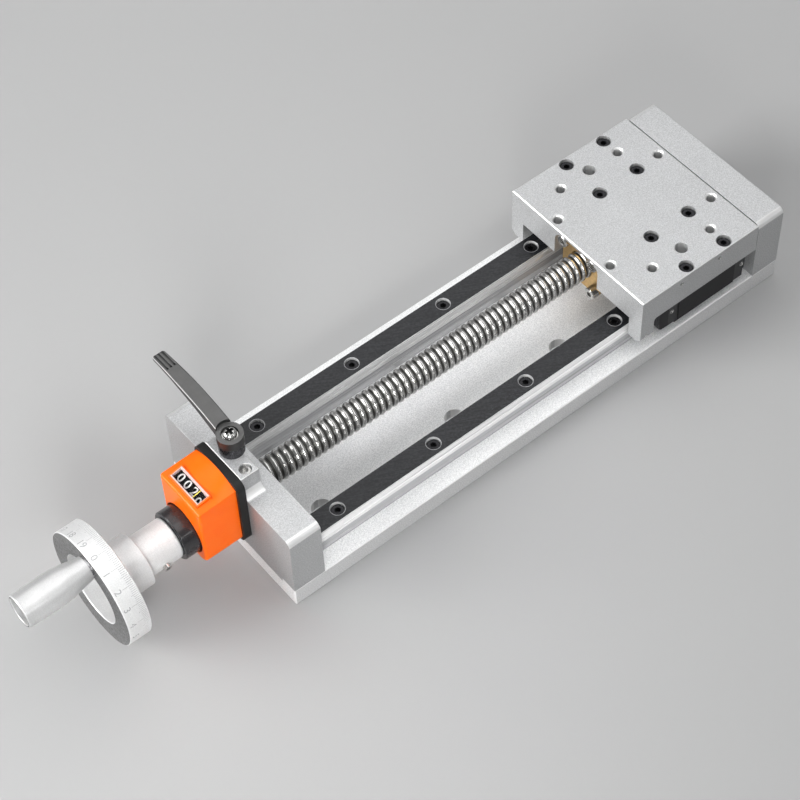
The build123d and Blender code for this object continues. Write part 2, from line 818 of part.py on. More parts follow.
# Counter's back plate, screwed to the front block
with BuildPart() as counter_plate:
    with BuildSketch(across(plate_front, 0, plate_bottom)):
        Rectangle(plate_width, plate_top - plate_bottom, align=(Align.CENTER, Align.MIN))
    extrude(amount=plate_thickness)
    fillet(counter_plate.edges().filter_by(Axis.X), plate_corner)
    with BuildSketch(across(plate_front, 0, screw_height)):
        Circle(plate_bore / 2)
    extrude(amount=plate_thickness, mode=Mode.SUBTRACT)
    with Locations(facing_front(plate_front, plate_bottom + plate_screw_rise)):
        with GridLocations(plate_screw_spacing, 0, 2, 1):
            CounterBoreHole(
                m3_thread / 2 + thread_fit, m3_head / 2 + thread_fit, m3_head_height + thread_fit
            )
save(counter_plate.part, "counter_plate")

with BuildPart() as plate_screws:
    screw_seat = plate_front + m3_head_height + thread_fit
    with Locations(facing_front(screw_seat, plate_bottom + plate_screw_rise)):
        with GridLocations(plate_screw_spacing, 0, 2, 1):
            add(socket_screw(m3_thread, m3_head, m3_head_height, m3_key, plate_screw_length))
save(plate_screws.part, "plate_screws")


def counter_section(crown, shoulder, inset):
    """The counter housing's section over the screw's axis: round lower corners and an arched top."""
    half = counter_width / 2 - inset
    with BuildSketch() as section:
        with BuildLine():
            walls = Polyline(
                (-half, shoulder - inset),
                (-half, counter_bottom + inset),
                (half, counter_bottom + inset),
                (half, shoulder - inset),
            )
            ThreePointArc(walls @ 1, (0, crown - inset), walls @ 0)
        make_face()
        fillet(section.vertices().group_by(Axis.Y)[0], counter_corner - inset)
    return section.sketch


# Counter housing: a lofted shell whose arched top runs down to the front, with a sloping window
crown_slope = (counter_rear_crown - counter_front_crown) / counter_depth
window_x = plate_front - window_setback
window_z = counter_rear_crown - window_setback * crown_slope
window_plane = Plane(origin=(window_x, 0, window_z), x_dir=(0, 1, 0), z_dir=(-crown_slope, 0, 1))
drum_x = counter_front + counter_wall + drum_wall_gap + drum_radius
drum_z = window_z + (drum_x - window_x) * crown_slope - (drum_depth + drum_radius) / window_plane.z_dir.Z
drum_centre = Vector(drum_x, 0, drum_z)
drum_pitch = drum_width + drum_gap
drum_pin_length = counter_width - 2 * counter_wall + 2 * drum_pin_seat
inner_front = counter_front + counter_wall

with BuildPart() as counter_housing:
    with BuildSketch(across(plate_front)):
        add(counter_section(counter_rear_crown, counter_rear_shoulder, 0))
    with BuildSketch(across(counter_front)):
        add(counter_section(counter_front_crown, counter_front_shoulder, 0))
    loft()
    fillet(counter_housing.faces().sort_by(Axis.X)[0].edges(), counter_front_edge)
    with BuildSketch(across(plate_front)):
        add(counter_section(counter_rear_crown, counter_rear_shoulder, counter_wall))
    with BuildSketch(across(inner_front)):
        add(counter_section(counter_front_crown, counter_front_shoulder, counter_wall))
    loft(mode=Mode.SUBTRACT)
    with BuildSketch(across(counter_front, 0, screw_height)):
        Circle(counter_opening / 2)
    extrude(amount=counter_wall, mode=Mode.SUBTRACT)
    with BuildSketch(window_plane):
        Rectangle(window_length, window_width)
    extrude(amount=2 * window_depth, both=True, mode=Mode.SUBTRACT)
    with BuildSketch(facing_left(drum_centre.X, 0, drum_centre.Z)):
        Circle(drum_pin_diameter / 2 + seat_fit)
    extrude(amount=drum_pin_length / 2, both=True, mode=Mode.SUBTRACT)
save(counter_housing.part, "counter_housing")

with BuildPart() as window_frame:
    with BuildSketch(window_plane.offset(window_proud)):
        Rectangle(window_length - 2 * seat_fit, window_width - 2 * seat_fit)
        Rectangle(
            window_length - 2 * window_end_wall,
            window_width - 2 * window_side_wall,
            mode=Mode.SUBTRACT,
        )
    extrude(amount=-window_depth)
save(window_frame.part, "window_frame")

with BuildPart() as window_pane:
    with BuildSketch(window_plane):
        Rectangle(window_length - 2 * window_end_wall, window_width - 2 * window_side_wall)
    extrude(amount=-pane_thickness)
save(window_pane.part, "window_pane")

# Number drums side by side on one fixed pin, the most significant nearest +Y
for place, name in enumerate(drum_names):
    drum_y = ((len(drum_names) - 1) / 2 - place) * drum_pitch
    with BuildPart() as drum:
        with BuildSketch(facing_left(drum_centre.X, drum_y, drum_centre.Z)):
            Circle(drum_radius)
            Circle(drum_pin_diameter / 2 + running_fit, mode=Mode.SUBTRACT)
        extrude(amount=drum_width / 2, both=True)
    save(drum.part, f"{name}_drum")

with BuildPart() as drum_pin:
    with BuildSketch(facing_left(drum_centre.X, 0, drum_centre.Z)):
        Circle(drum_pin_diameter / 2)
    extrude(amount=drum_pin_length / 2, both=True)
save(drum_pin.part, "drum_pin")

# Counter's hollow shaft, from the lock nut through the housing to its black collar
with BuildPart() as counter_shaft:
    tube_radius = plate_bore / 2 - 2 * running_fit
    with BuildSketch(turning_plane):
        with BuildLine():
            Polyline(
                (lock_nut_front, journal_bore / 2),
                (lock_nut_front, tube_radius),
                (counter_front + collar_inset, tube_radius),
                (counter_front + collar_inset, collar_diameter / 2),
                (collar_front + collar_edge, collar_diameter / 2),
                (collar_front, collar_diameter / 2 - collar_edge),
                (collar_front, journal_bore / 2),
                close=True,
            )
        make_face()
    revolve(axis=screw_axis)
save(counter_shaft.part, "counter_shaft")


def radial_plane(x, angle, radius):
    """A plane that faces away from the screw's axis at x, its angle turning from +Y towards +Z."""
    outward = Vector(0, cos(radians(angle)), sin(radians(angle)))
    return Plane(origin=Vector(x, 0, screw_height) + outward * radius, x_dir=(1, 0, 0), z_dir=outward)


# Spacer sleeve between the counter and the wheel, held to the shaft by a grub screw
with BuildPart() as hub_sleeve:
    add(ring_along_screw(sleeve_front, sleeve_length, journal_bore, sleeve_diameter))
    fillet(
        hub_sleeve.edges().filter_by(GeomType.CIRCLE).group_by(Axis.X)[-1].sort_by(Edge.length)[-1],
        sleeve_round,
    )
    with Locations(radial_plane(sleeve_screw_x, sleeve_screw_angle, sleeve_diameter / 2)):
        Hole(m4_thread / 2 + thread_fit, (sleeve_diameter - journal_diameter) / 2)
save(hub_sleeve.part, "hub_sleeve")

# Handwheel: hub, rim with a wide recess in front, seat for the handle's spindle
with BuildPart() as handwheel:
    with BuildSketch(turning_plane):
        with BuildLine():
            Polyline(
                (sleeve_front, journal_bore / 2),
                (sleeve_front, hub_diameter / 2),
                (wheel_rear, hub_diameter / 2),
                (wheel_rear, wheel_diameter / 2),
                (wheel_front, wheel_diameter / 2),
                (wheel_front, wheel_recess / 2),
                (wheel_front + wheel_recess_depth, wheel_recess / 2),
                (wheel_front + wheel_recess_depth, journal_bore / 2),
                close=True,
            )
        make_face()
    revolve(axis=screw_axis)
    rim_edges = handwheel.edges().filter_by(GeomType.CIRCLE).filter_by(
        lambda edge: edge.radius > wheel_recess / 2 - wheel_edge
    )
    chamfer(rim_edges, wheel_edge)
    with Locations(Plane(origin=(wheel_front, handle_y, handle_z), z_dir=(-1, 0, 0))):
        Hole(spindle_diameter / 2 + seat_fit, spindle_thread_length + tap_run_out)
    with Locations(radial_plane(hub_screw_x, hub_screw_angle, hub_diameter / 2)):
        Hole(m4_thread / 2 + thread_fit, (hub_diameter - journal_diameter) / 2)
save(handwheel.part, "handwheel")

# Grub screws of the sleeve and the hub, with their points on the shaft
with BuildPart() as grub_screws:
    for x, angle in ((sleeve_screw_x, sleeve_screw_angle), (hub_screw_x, hub_screw_angle)):
        with BuildSketch(radial_plane(x, angle, journal_diameter / 2)):
            Circle(m4_thread / 2)
        extrude(amount=grub_length)
        with BuildSketch(radial_plane(x, angle, journal_diameter / 2 + grub_length)):
            RegularPolygon(grub_key / 2, 6, major_radius=False)
        extrude(amount=-grub_key, mode=Mode.SUBTRACT)
save(grub_screws.part, "grub_screws")

# Handle spindle: thread in the wheel's rim, flange, plain shank, head inside the grip's mouth
grip_floor = handle_length - handle_bore_depth
head_start = handle_start - grip_floor - handle_side_gap
with BuildPart() as handle_spindle:
    with BuildSketch(handle_plane):
        with BuildLine():
            Polyline(
                (wheel_front + spindle_thread_length, 0),
                (wheel_front + spindle_thread_length, spindle_diameter / 2),
                (wheel_front, spindle_diameter / 2),
                (wheel_front, spindle_flange / 2),
                (wheel_front - spindle_flange_thickness, spindle_flange / 2),
                (wheel_front - spindle_flange_thickness, spindle_diameter / 2),
                (head_start, spindle_diameter / 2),
                (head_start, spindle_head / 2),
                (head_start - spindle_head_height, spindle_head / 2),
                (head_start - spindle_head_height, 0),
                close=True,
            )
        make_face()
    revolve(axis=handle_axis)
    with BuildSketch(across(head_start - spindle_head_height, handle_y, handle_z)):
        RegularPolygon(spindle_socket / 2, 6, major_radius=False)
    extrude(amount=spindle_head_height / 2, mode=Mode.SUBTRACT)
save(handle_spindle.part, "handle_spindle")

# Revolving grip: a hollow turned handle, slim at the wheel and full at its open end
with BuildPart() as handle_grip:
    with BuildSketch(handle_plane):
        with BuildLine():
            neck = (handle_start, handle_neck / 2)
            belly = (handle_start - handle_belly_start, handle_belly / 2)
            swell = Spline(neck, belly, tangents=((-1, handle_flare), (-1, 0)))
            Polyline(
                swell @ 1,
                (handle_start - handle_belly_end, handle_belly / 2),
                (handle_start - handle_length + handle_edge, handle_mouth / 2),
                (handle_start - handle_length, handle_mouth / 2 - handle_edge),
                (handle_start - handle_length, handle_bore / 2),
                (handle_start - grip_floor, handle_bore / 2),
                (handle_start - grip_floor, spindle_diameter / 2 + running_fit),
                (handle_start, spindle_diameter / 2 + running_fit),
                swell @ 0,
            )
        make_face()
    revolve(axis=handle_axis)
save(handle_grip.part, "handle_grip")

# Clamp lever: steel collar with its stud, which presses a pad on the clamp ring
collar_foot = boss_top + lever_gap
collar_top = collar_foot + lever_collar_height
hub_top = collar_top + lever_hub_height
lever_plane = Plane(origin=(lever_x, lever_y, collar_foot))
with BuildPart() as lever_collar:
    with BuildSketch(lever_plane):
        Circle(lever_collar_diameter / 2)
    extrude(amount=lever_collar_height)
    chamfer(lever_collar.edges().group_by(Axis.Z)[-1], lever_seam)
    with BuildSketch(lever_plane):
        Circle(stud_diameter / 2)
    extrude(amount=-stud_length)
    with BuildSketch(lever_plane.offset(lever_collar_height)):
        Circle(lever_neck / 2)
        Circle(m4_thread / 2 + thread_fit, mode=Mode.SUBTRACT)
    extrude(amount=lever_neck_height)
    with BuildSketch(lever_plane.offset(lever_collar_height)):
        Circle(m4_thread / 2 + thread_fit)
    extrude(amount=-lever_screw_length, mode=Mode.SUBTRACT)
save(lever_collar.part, "lever_collar")

# Lever arm: an arched side view cut to its plan and hollowed round the hub, with grooves for the finger
with BuildPart() as lever_arm:
    with BuildSketch(across(lever_x - lever_root_width, lever_y, collar_top)):
        with BuildLine():
            top = ThreePointArc(
                (0, lever_hub_height + lever_root_rise),
                (lever_crest_at, lever_hub_height + lever_crest_rise),
                (lever_reach, lever_hub_height + lever_tip_rise),
            )
            tip = Line(top @ 1, (lever_reach, lever_hub_height + lever_tip_rise - lever_tip_depth))
            under = ThreePointArc(
                tip @ 1,
                (lever_crest_at, lever_hub_height + lever_crest_rise - lever_crest_depth),
                (lever_heel, 0),
            )
            Polyline(under @ 1, (0, 0), top @ 0)
        make_face()
    extrude(amount=2 * lever_root_width)
    with BuildSketch(lever_plane) as arm_plan:
        with BuildLine():
            Polyline(
                (-lever_root_width / 2, 0),
                (lever_root_width / 2, 0),
                (lever_middle_width / 2, lever_crest_at),
                (lever_tip_width / 2, lever_reach),
                (-lever_tip_width / 2, lever_reach),
                (-lever_middle_width / 2, lever_crest_at),
                close=True,
            )
        make_face()
        fillet(arm_plan.vertices().group_by(Axis.Y)[-1], lever_tip_round)
    extrude(amount=2 * (collar_top - collar_foot + lever_hub_height), mode=Mode.INTERSECT)
    long_edges = lever_arm.edges().filter_by(
        lambda edge: edge.length > lever_reach / 4 and edge.center().X != lever_x
    )
    fillet(long_edges, lever_edge)
    tip_slope = (top % 0.9).Y / (top % 0.9).X
    tip_plane = Plane(
        origin=(lever_x, lever_y + lever_reach, hub_top + lever_tip_rise),
        x_dir=(1, 0, 0),
        z_dir=(0, -tip_slope, 1),
    )
    with BuildSketch(tip_plane):
        with GridLocations(lever_groove_spacing, 0, lever_groove_count, 1):
            Rectangle(lever_groove_width, lever_groove_length, align=(Align.CENTER, Align.MAX))
    extrude(amount=-lever_groove_depth, mode=Mode.SUBTRACT)
    with BuildSketch(lever_plane.offset(lever_collar_height)):
        Circle(lever_hub_diameter / 2)
    extrude(amount=2 * lever_hub_height + lever_crest_rise, mode=Mode.SUBTRACT)
    with BuildSketch(lever_plane.offset(lever_collar_height)):
        Circle(lever_hub_diameter / 2)
    extrude(amount=lever_hub_height)
    with BuildSketch(lever_plane.offset(lever_collar_height)):
        Circle(lever_neck / 2 + seat_fit)
    extrude(amount=lever_neck_height + lever_seam, mode=Mode.SUBTRACT)
    with BuildSketch(lever_plane.offset(lever_collar_height + lever_hub_height)):
        Circle(lever_recess / 2)
    extrude(amount=-lever_recess_depth, mode=Mode.SUBTRACT)
    with BuildSketch(lever_plane.offset(lever_collar_height)):
        Circle(m4_thread / 2 + thread_fit)
    extrude(amount=lever_hub_height, mode=Mode.SUBTRACT)
save(lever_arm.part, "lever_arm")

with BuildPart() as lever_screw:
    with Locations((lever_x, lever_y, hub_top - lever_recess_depth)):
        add(pan_screw(m4_thread, m4_head, m4_head_height / 2, lever_screw_length))
save(lever_screw.part, "lever_screw")

with BuildPart() as clamp_pad:
    with BuildSketch(Plane(origin=(lever_x, lever_y, collar_foot - stud_length - pad_gap))):
        Circle(stud_diameter / 2)
    extrude(amount=-pad_length)
save(clamp_pad.part, "clamp_pad")
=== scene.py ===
import json
from math import cos, pi, radians, sin

import bmesh
import bpy
from mathutils import Matrix, Vector


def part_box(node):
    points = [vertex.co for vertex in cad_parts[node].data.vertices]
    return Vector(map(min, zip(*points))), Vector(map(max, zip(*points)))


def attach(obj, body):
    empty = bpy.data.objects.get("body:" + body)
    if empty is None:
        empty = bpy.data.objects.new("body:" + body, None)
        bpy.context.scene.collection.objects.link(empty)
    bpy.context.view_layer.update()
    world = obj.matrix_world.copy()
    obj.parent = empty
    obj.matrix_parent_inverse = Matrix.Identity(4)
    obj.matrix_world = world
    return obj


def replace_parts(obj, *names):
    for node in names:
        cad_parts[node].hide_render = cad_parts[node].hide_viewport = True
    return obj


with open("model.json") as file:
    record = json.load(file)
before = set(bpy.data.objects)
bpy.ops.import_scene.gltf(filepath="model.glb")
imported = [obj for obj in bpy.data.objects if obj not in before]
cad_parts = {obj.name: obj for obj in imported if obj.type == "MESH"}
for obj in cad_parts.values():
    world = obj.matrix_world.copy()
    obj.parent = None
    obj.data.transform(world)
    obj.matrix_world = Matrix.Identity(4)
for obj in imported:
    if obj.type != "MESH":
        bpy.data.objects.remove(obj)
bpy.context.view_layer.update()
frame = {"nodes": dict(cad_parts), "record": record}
mm = 0.001
axisHeight = 35.0  # the lead screw's axis above the floor, in millimetres
print("frame loaded:", len(frame["nodes"]), "nodes")


# Shader expressions

class Wire:
    def __init__(self, finish, socket):
        self.finish = finish
        self.socket = socket

    def sum(self, operation, *others, swap=False):
        terms = [self, *others]
        if swap:
            terms.reverse()
        return self.finish.add("ShaderNodeMath", {"operation": operation}, dict(enumerate(terms)))

    def __add__(self, other): return self.sum("ADD", other)
    def __radd__(self, other): return self.sum("ADD", other, swap=True)
    def __sub__(self, other): return self.sum("SUBTRACT", other)
    def __rsub__(self, other): return self.sum("SUBTRACT", other, swap=True)
    def __mul__(self, other): return self.sum("MULTIPLY", other)
    def __rmul__(self, other): return self.sum("MULTIPLY", other, swap=True)
    def __pow__(self, other): return self.sum("POWER", other)
    def __mod__(self, other): return self.sum("FLOORED_MODULO", other)
    def __gt__(self, other): return self.sum("GREATER_THAN", other)
    def __lt__(self, other): return self.sum("LESS_THAN", other)
    def __neg__(self): return self.sum("MULTIPLY", -1.0)
    def __abs__(self): return self.sum("ABSOLUTE")
    def top(self, other): return self.sum("MAXIMUM", other)

    def ramp(self, low, high):  # 0 below low, 1 above high, smooth between
        return self.finish.add("ShaderNodeMapRange", {"interpolation_type": "SMOOTHSTEP"},
                               {"Value": self, "From Min": low, "From Max": high})


class Finish:
    def __init__(self, name, world=False):
        if world:
            self.block = bpy.data.worlds.new(name)
        else:
            self.block = bpy.data.materials.new(name)
        self.block.use_nodes = True
        self.tree = self.block.node_tree
        self.tree.nodes.clear()

    def add(self, kind, settings=None, inputs=None, output=0):
        node = self.tree.nodes.new(kind)
        for key, value in (settings or {}).items():
            setattr(node, key, value)
        for key, value in (inputs or {}).items():
            if isinstance(value, Wire):
                self.tree.links.new(value.socket, node.inputs[key])
            elif isinstance(value, tuple) and len(value) == 3 and node.inputs[key].type == "RGBA":
                node.inputs[key].default_value = (*value, 1.0)
            else:
                node.inputs[key].default_value = value
        return Wire(self, node.outputs[output]) if node.outputs else node

    def place(self):  # the piece's own coordinates in millimetres
        own = self.add("ShaderNodeTexCoord", output="Object")
        return self.add("ShaderNodeVectorMath", {"operation": "SCALE"}, {0: own, "Scale": 1000.0})

    def split(self, vector):
        node = self.add("ShaderNodeSeparateXYZ", {}, {0: vector}).socket.node
        return [Wire(self, socket) for socket in node.outputs]

    def stretch(self, vector, x, y, z):
        return self.add("ShaderNodeVectorMath", {"operation": "MULTIPLY"}, {0: vector, 1: (x, y, z)})

    def turn(self, vector, degrees):  # about the vertical
        return self.add("ShaderNodeVectorRotate", {"rotation_type": "Z_AXIS"},
                        {0: vector, "Angle": radians(degrees)})

    def noise(self, vector, scale, detail=3.0, roughness=0.55):
        return self.add("ShaderNodeTexNoise", {}, {"Vector": vector, "Scale": scale, "Detail": detail,
                                                   "Roughness": roughness})

    def mix(self, factor, low, high):
        return self.add("ShaderNodeMix", {"data_type": "RGBA"}, {0: factor, 6: low, 7: high}, output=2)

    def facing(self):  # the surface's own normal, as three values
        return self.split(self.add("ShaderNodeNewGeometry", output="Normal"))

    def bump(self, height, strength, distance, under):  # relief on top of the normal "under"
        return self.add("ShaderNodeBump", {}, {"Height": height, "Strength": strength,
                                               "Distance": distance * mm, "Normal": under})

    def soften(self, radius):  # rounds the look of every edge
        return self.add("ShaderNodeBevel", {"samples": 6}, {"Radius": radius * mm})

    def surface(self, **sockets):
        names = {"colour": "Base Color", "metal": "Metallic", "rough": "Roughness", "coat": "Coat Weight",
                 "coatRough": "Coat Roughness", "alpha": "Alpha", "normal": "Normal",
                 "shine": "Specular IOR Level"}
        shader = self.add("ShaderNodeBsdfPrincipled", {}, {names[k]: v for k, v in sockets.items()})
        self.add("ShaderNodeOutputMaterial", {}, {0: shader})
        return self.block


# Finishes of the real materials

blasted = {"colour": (0.57, 0.575, 0.58), "grain": 1.6, "speckle": 0.33, "rough": 0.4,
           "edge": (0.78, 0.78, 0.775)}


def blastedAluminium(name, lift=1.0, metal=0.6, edge=0.25, sides=0.82, ends=1.0):
    f = Finish(name)
    at = f.place()
    grain = f.noise(at, blasted["grain"], 2.0, 0.75)
    fine = f.noise(at, blasted["grain"] * 2.6, 1.0)
    cloud = f.noise(at, 0.035, 3.0)
    light = tuple(min(1.0, c * lift * (1.0 + blasted["speckle"] * 0.7)) for c in blasted["colour"])
    dark = tuple(c * lift * (1.0 - blasted["speckle"]) for c in blasted["colour"])
    colour = f.mix((grain * 0.75 + fine * 0.25).ramp(0.32, 0.68) * 0.75 + cloud * 0.25, dark, light)
    along, across, up = f.facing()  # painted shade: the sides and ends are coloured darker than the top
    dull = 1.0 - abs(across).ramp(0.9, 0.97) * (1.0 - sides) - abs(along).ramp(0.9, 0.97) * (1.0 - ends)
    colour = f.add("ShaderNodeVectorMath", {"operation": "SCALE"}, {0: colour, "Scale": dull})
    flat = abs(along).top(abs(across)).top(abs(up)).ramp(0.95, 0.99)  # edges, rounds and bores are cut bright, and coloured lighter still as painted highlight, which also paints light into the bores
    colour = f.mix(1.0 - flat, colour, blasted["edge"])
    rough = blasted["rough"] + grain * 0.12 + cloud * 0.06 - (1.0 - flat) * 0.12
    normal = f.bump(grain + fine * 0.6, 0.35, 0.05, f.soften(edge))
    return f.surface(colour=colour, metal=metal, rough=rough, normal=normal)


turning = {"colour": (0.8, 0.8, 0.798), "lines": 2.4, "face": 0.12, "mark": (0.1, 0.1, 0.105)}


def turnedAluminium(name, centre=(0.0, axisHeight), rough=0.38, depth=0.025, lift=1.0, metal=0.4):
    f = Finish(name)
    at = f.place()
    x, y, z = f.split(at)
    radius = ((y - centre[0]) ** 2.0 + (z - centre[1]) ** 2.0) ** 0.5
    cut = f.add("ShaderNodeCombineXYZ", {}, {0: x * turning["lines"], 1: radius * turning["lines"]})
    rings = f.noise(cut, 1.0, 2.0, 0.7)
    cloud = f.noise(at, 0.09, 2.0)
    ends, _, _ = f.facing()
    frontShade = (-ends).ramp(0.85, 0.95)
    light = tuple(min(1.0, c * lift * 1.06) for c in turning["colour"])
    dark = tuple(c * lift * 0.88 for c in turning["colour"])
    grain = f.noise(at, 1.8, 2.0, 0.7)
    colour = f.mix((rings * 0.15 + cloud * 0.35 + grain * 0.5).ramp(0.35, 0.7), dark, light)
    # painted shade: faces that look forward (−X) are coloured dark and mottled
    shaded = tuple(c * turning["face"] for c in turning["colour"])
    mottle = f.noise(at, 0.9, 4.0, 0.7)
    colour = f.mix(frontShade * (0.82 + mottle.ramp(0.35, 0.65) * 0.18), colour, shaded)
    normal = f.bump(rings, depth, 0.04, f.soften(0.2))
    blend = rough + rings * 0.06 + cloud * 0.06 + frontShade * 0.08
    if centre[1] == axisHeight:  # the dial's cuts hold some paint
        rim = dial["radius"]
        inCut = (1.0 - radius.ramp(rim - 0.13, rim - 0.02)) * (radius > rim - 0.3)
        inCut = inCut * (x < dial["rear"] - 0.3) * (x > dial["longEnd"] - 0.3)
        colour = f.mix(inCut * 0.8, colour, turning["mark"])
        blend = blend + inCut * 0.3
    return f.surface(colour=colour, metal=metal, rough=blend, normal=normal)


rail = {"top": (0.012, 0.0125, 0.014), "side": (0.95, 0.95, 0.945), "foot": (0.6, 0.6, 0.61),
        "rim": (0.34, 0.34, 0.35), "footHeight": 6.4, "pitch": 60.0, "middle": 0.3, "across": 32.5,
        "hole": 3.75}


def groundRail():
    f = Finish("groundRail")
    at = f.place()
    along, across, height = f.split(at)
    _, _, up = f.facing()
    low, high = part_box("left_rail")
    onTop = up.ramp(0.9, 0.97) * (height > high.z / mm - 0.3)
    inFoot = 1.0 - (height - low.z / mm).ramp(rail["footHeight"] - 0.2, rail["footHeight"] + 0.2)
    lines = f.noise(f.stretch(at, 0.03, 2.0, 2.0), 1.0, 2.0, 0.7)
    reflectionStreaks = f.noise(f.stretch(at, 0.003, 0.2, 1.3), 1.0, 3.0, 0.75)
    hatch = f.noise(f.stretch(f.turn(at, 28.0), 0.12, 2.2, 1.0), 1.0, 3.0, 0.7)
    mottle = f.noise(at, 0.7, 5.0, 0.7)
    smear = f.noise(at, 0.05, 3.0)
    side = f.mix(inFoot, rail["side"], rail["foot"])
    # painted reflection: the bright sides carry long dark streaks
    side = f.mix(reflectionStreaks.ramp(0.54, 0.62) * 0.5, side, tuple(c * 0.25 for c in rail["side"]))
    # painted reflection: the top is coloured near-black, with lighter mottled marks
    wearAndSheen = tuple(c * 2.6 for c in rail["top"])
    black = f.mix((mottle * 0.5 + hatch * 0.5).ramp(0.42, 0.62) * 0.8, rail["top"], wearAndSheen)
    nearest = abs((along - rail["middle"] + rail["pitch"] / 2) % rail["pitch"] - rail["pitch"] / 2)
    reach = (nearest ** 2.0 + (abs(across) - rail["across"]) ** 2.0) ** 0.5
    rim = 1.0 - abs(reach - rail["hole"] - 0.12).ramp(0.08, 0.2)
    black = f.mix(rim, black, rail["rim"])
    colour = f.mix(onTop, side, black)
    rough = 0.22 + lines * 0.08 + onTop * (mottle * 0.14 + smear * 0.08 - 0.14)
    normal = f.bump(lines, 0.12, 0.02, f.soften(0.2))
    return f.surface(colour=colour, metal=0.4 - onTop * 0.3, rough=rough, normal=normal, shine=0.35)


def steel(name, colour, rough, metal=1.0, streak=0.35, radius=0.12):
    f = Finish(name)
    at = f.place()
    wear = f.noise(at, 0.5, 4.0, 0.6)
    lines = f.noise(f.stretch(at, 3.0, 0.3, 0.3), 1.0, 2.0)
    light = tuple(min(1.0, c * (1.0 + streak)) for c in colour)
    mixed = f.mix((wear * 0.6 + lines * 0.4).ramp(0.35, 0.7), colour, light)
    normal = f.bump(lines, 0.12, 0.02, f.soften(radius))
    return f.surface(colour=mixed, metal=metal, rough=rough + wear * 0.14, normal=normal)


def moulding(name, colour, rough, coat=0.4, peel=0.06, radius=0.25, shine=0.5):
    f = Finish(name)
    at = f.place()
    skin = f.noise(at, 1.1, 2.0)
    haze = f.noise(at, 0.12, 3.0)
    light = tuple(min(1.0, c * 1.08 + 0.002) for c in colour)
    mixed = f.mix(haze.ramp(0.35, 0.7), colour, light)
    normal = f.bump(skin, peel, 0.05, f.soften(radius))
    return f.surface(colour=mixed, rough=rough + haze * 0.1, coat=coat, coatRough=0.08, normal=normal,
                     shine=shine)


rolled = {"dull": (0.5, 0.495, 0.48), "bright": (0.58, 0.575, 0.56), "groove": (0.035, 0.033, 0.03),
          "rough": 0.25}


def threadSteel():
    f = Finish("threadSteel")
    at = f.place()
    _, y, z = f.split(at)
    radius = (y ** 2.0 + (z - axisHeight) ** 2.0) ** 0.5
    grooveShade = 1.0 - radius.ramp(thread["root"] + 0.15, thread["crest"] - thread["round"])
    oil = f.noise(at, 0.2, 2.0)
    crest = f.mix(oil.ramp(0.35, 0.65), rolled["dull"], rolled["bright"])
    # painted shade: the thread's grooves are coloured near-black
    colour = f.mix(grooveShade * 0.92, crest, rolled["groove"])
    rough = rolled["rough"] + oil * 0.03 + grooveShade * 0.1
    return f.surface(colour=colour, metal=1.0, rough=rough)


def clearPane():
    f = Finish("clearPane")
    at = f.place()
    smear = f.noise(at, 0.5, 2.0)
    return f.surface(colour=(0.04, 0.04, 0.042), rough=0.03 + smear * 0.04, alpha=0.04 + smear * 0.02)


shellOrange = (1.0, 0.14, 0.001)
frameRim = {"dull": (0.6, 0.42, 0.4), "pale": (0.68, 0.5, 0.48), "endWidth": 0.75, "sideWidth": 0.85}


def paleFrame():  # pale by the drums, orange by the housing
    f = Finish("windowPale")
    at = f.place()
    x, y, _ = f.split(at)
    low, high = (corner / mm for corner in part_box("window_frame"))
    outward = (abs(x - (low.x + high.x) / 2) - (high.x - low.x) / 2 + frameRim["endWidth"]).top(
        abs(y - (low.y + high.y) / 2) - (high.y - low.y) / 2 + frameRim["sideWidth"])
    haze = f.noise(at, 0.8, 2.0)
    pale = f.mix(haze.ramp(0.35, 0.7), frameRim["dull"], frameRim["pale"])
    colour = f.mix(outward.ramp(-0.08, 0.08), pale, shellOrange)
    return f.surface(colour=colour, rough=0.3 + haze * 0.1, coat=0.2, coatRough=0.08, normal=f.soften(0.2))


def markPaint(name, colour, rough=0.5):
    f = Finish(name)
    at = f.place()
    wear = f.noise(at, 2.2, 3.0)
    light = tuple(min(1.0, c * 1.1 + 0.004) for c in colour)
    return f.surface(colour=f.mix(wear.ramp(0.35, 0.65), colour, light), rough=rough + wear * 0.1)


grooves = {"spacing": 2.1, "half": 0.5, "start": 48.6, "dark": (0.006, 0.006, 0.006),
           "wearAndSheen": (0.5, 0.5, 0.49)}
coating = {"top": (0.075, 0.074, 0.073), "haze": (0.09, 0.089, 0.088), "side": (0.014, 0.014, 0.014)}


def leverCoating():
    f = Finish("leverBlack")
    at = f.place()
    x, y, _ = f.split(at)
    left, _, up = f.facing()
    low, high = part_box("lever_arm")
    axis = (low.x + high.x) / 2 / mm
    half = grooves["half"]
    # painted shade: the bumped grooves on the arm are coloured near-black
    cut = sum(1.0 - abs(x - axis - n * grooves["spacing"]).ramp(half - 0.12, half + 0.05) for n in (-1, 0, 1))
    cut = cut * y.ramp(grooves["start"] - 0.3, grooves["start"] + 0.2) * (up > 0.4)
    skin = f.noise(at, 1.4, 2.0)
    haze = f.noise(at, 0.12, 3.0)
    colour = f.mix(haze.ramp(0.35, 0.7), coating["top"], coating["haze"])
    # painted light and shade: upward faces are lighter, the sides near-black
    colour = f.mix(up.ramp(0.2, 0.75), coating["side"], colour)
    wearAndSheen = (up.ramp(0.3, 0.45) - up.ramp(0.62, 0.8)) * (left < -0.3) * (y > 4.0)  # painted highlight: the rounded front edge is coloured light grey
    colour = f.mix(wearAndSheen, f.mix(cut, colour, grooves["dark"]), grooves["wearAndSheen"])
    normal = f.bump(skin * 0.06 - cut, 0.6, 0.3, f.soften(0.4))
    return f.surface(colour=colour, rough=0.36 + haze * 0.1, coat=0.1, normal=normal)


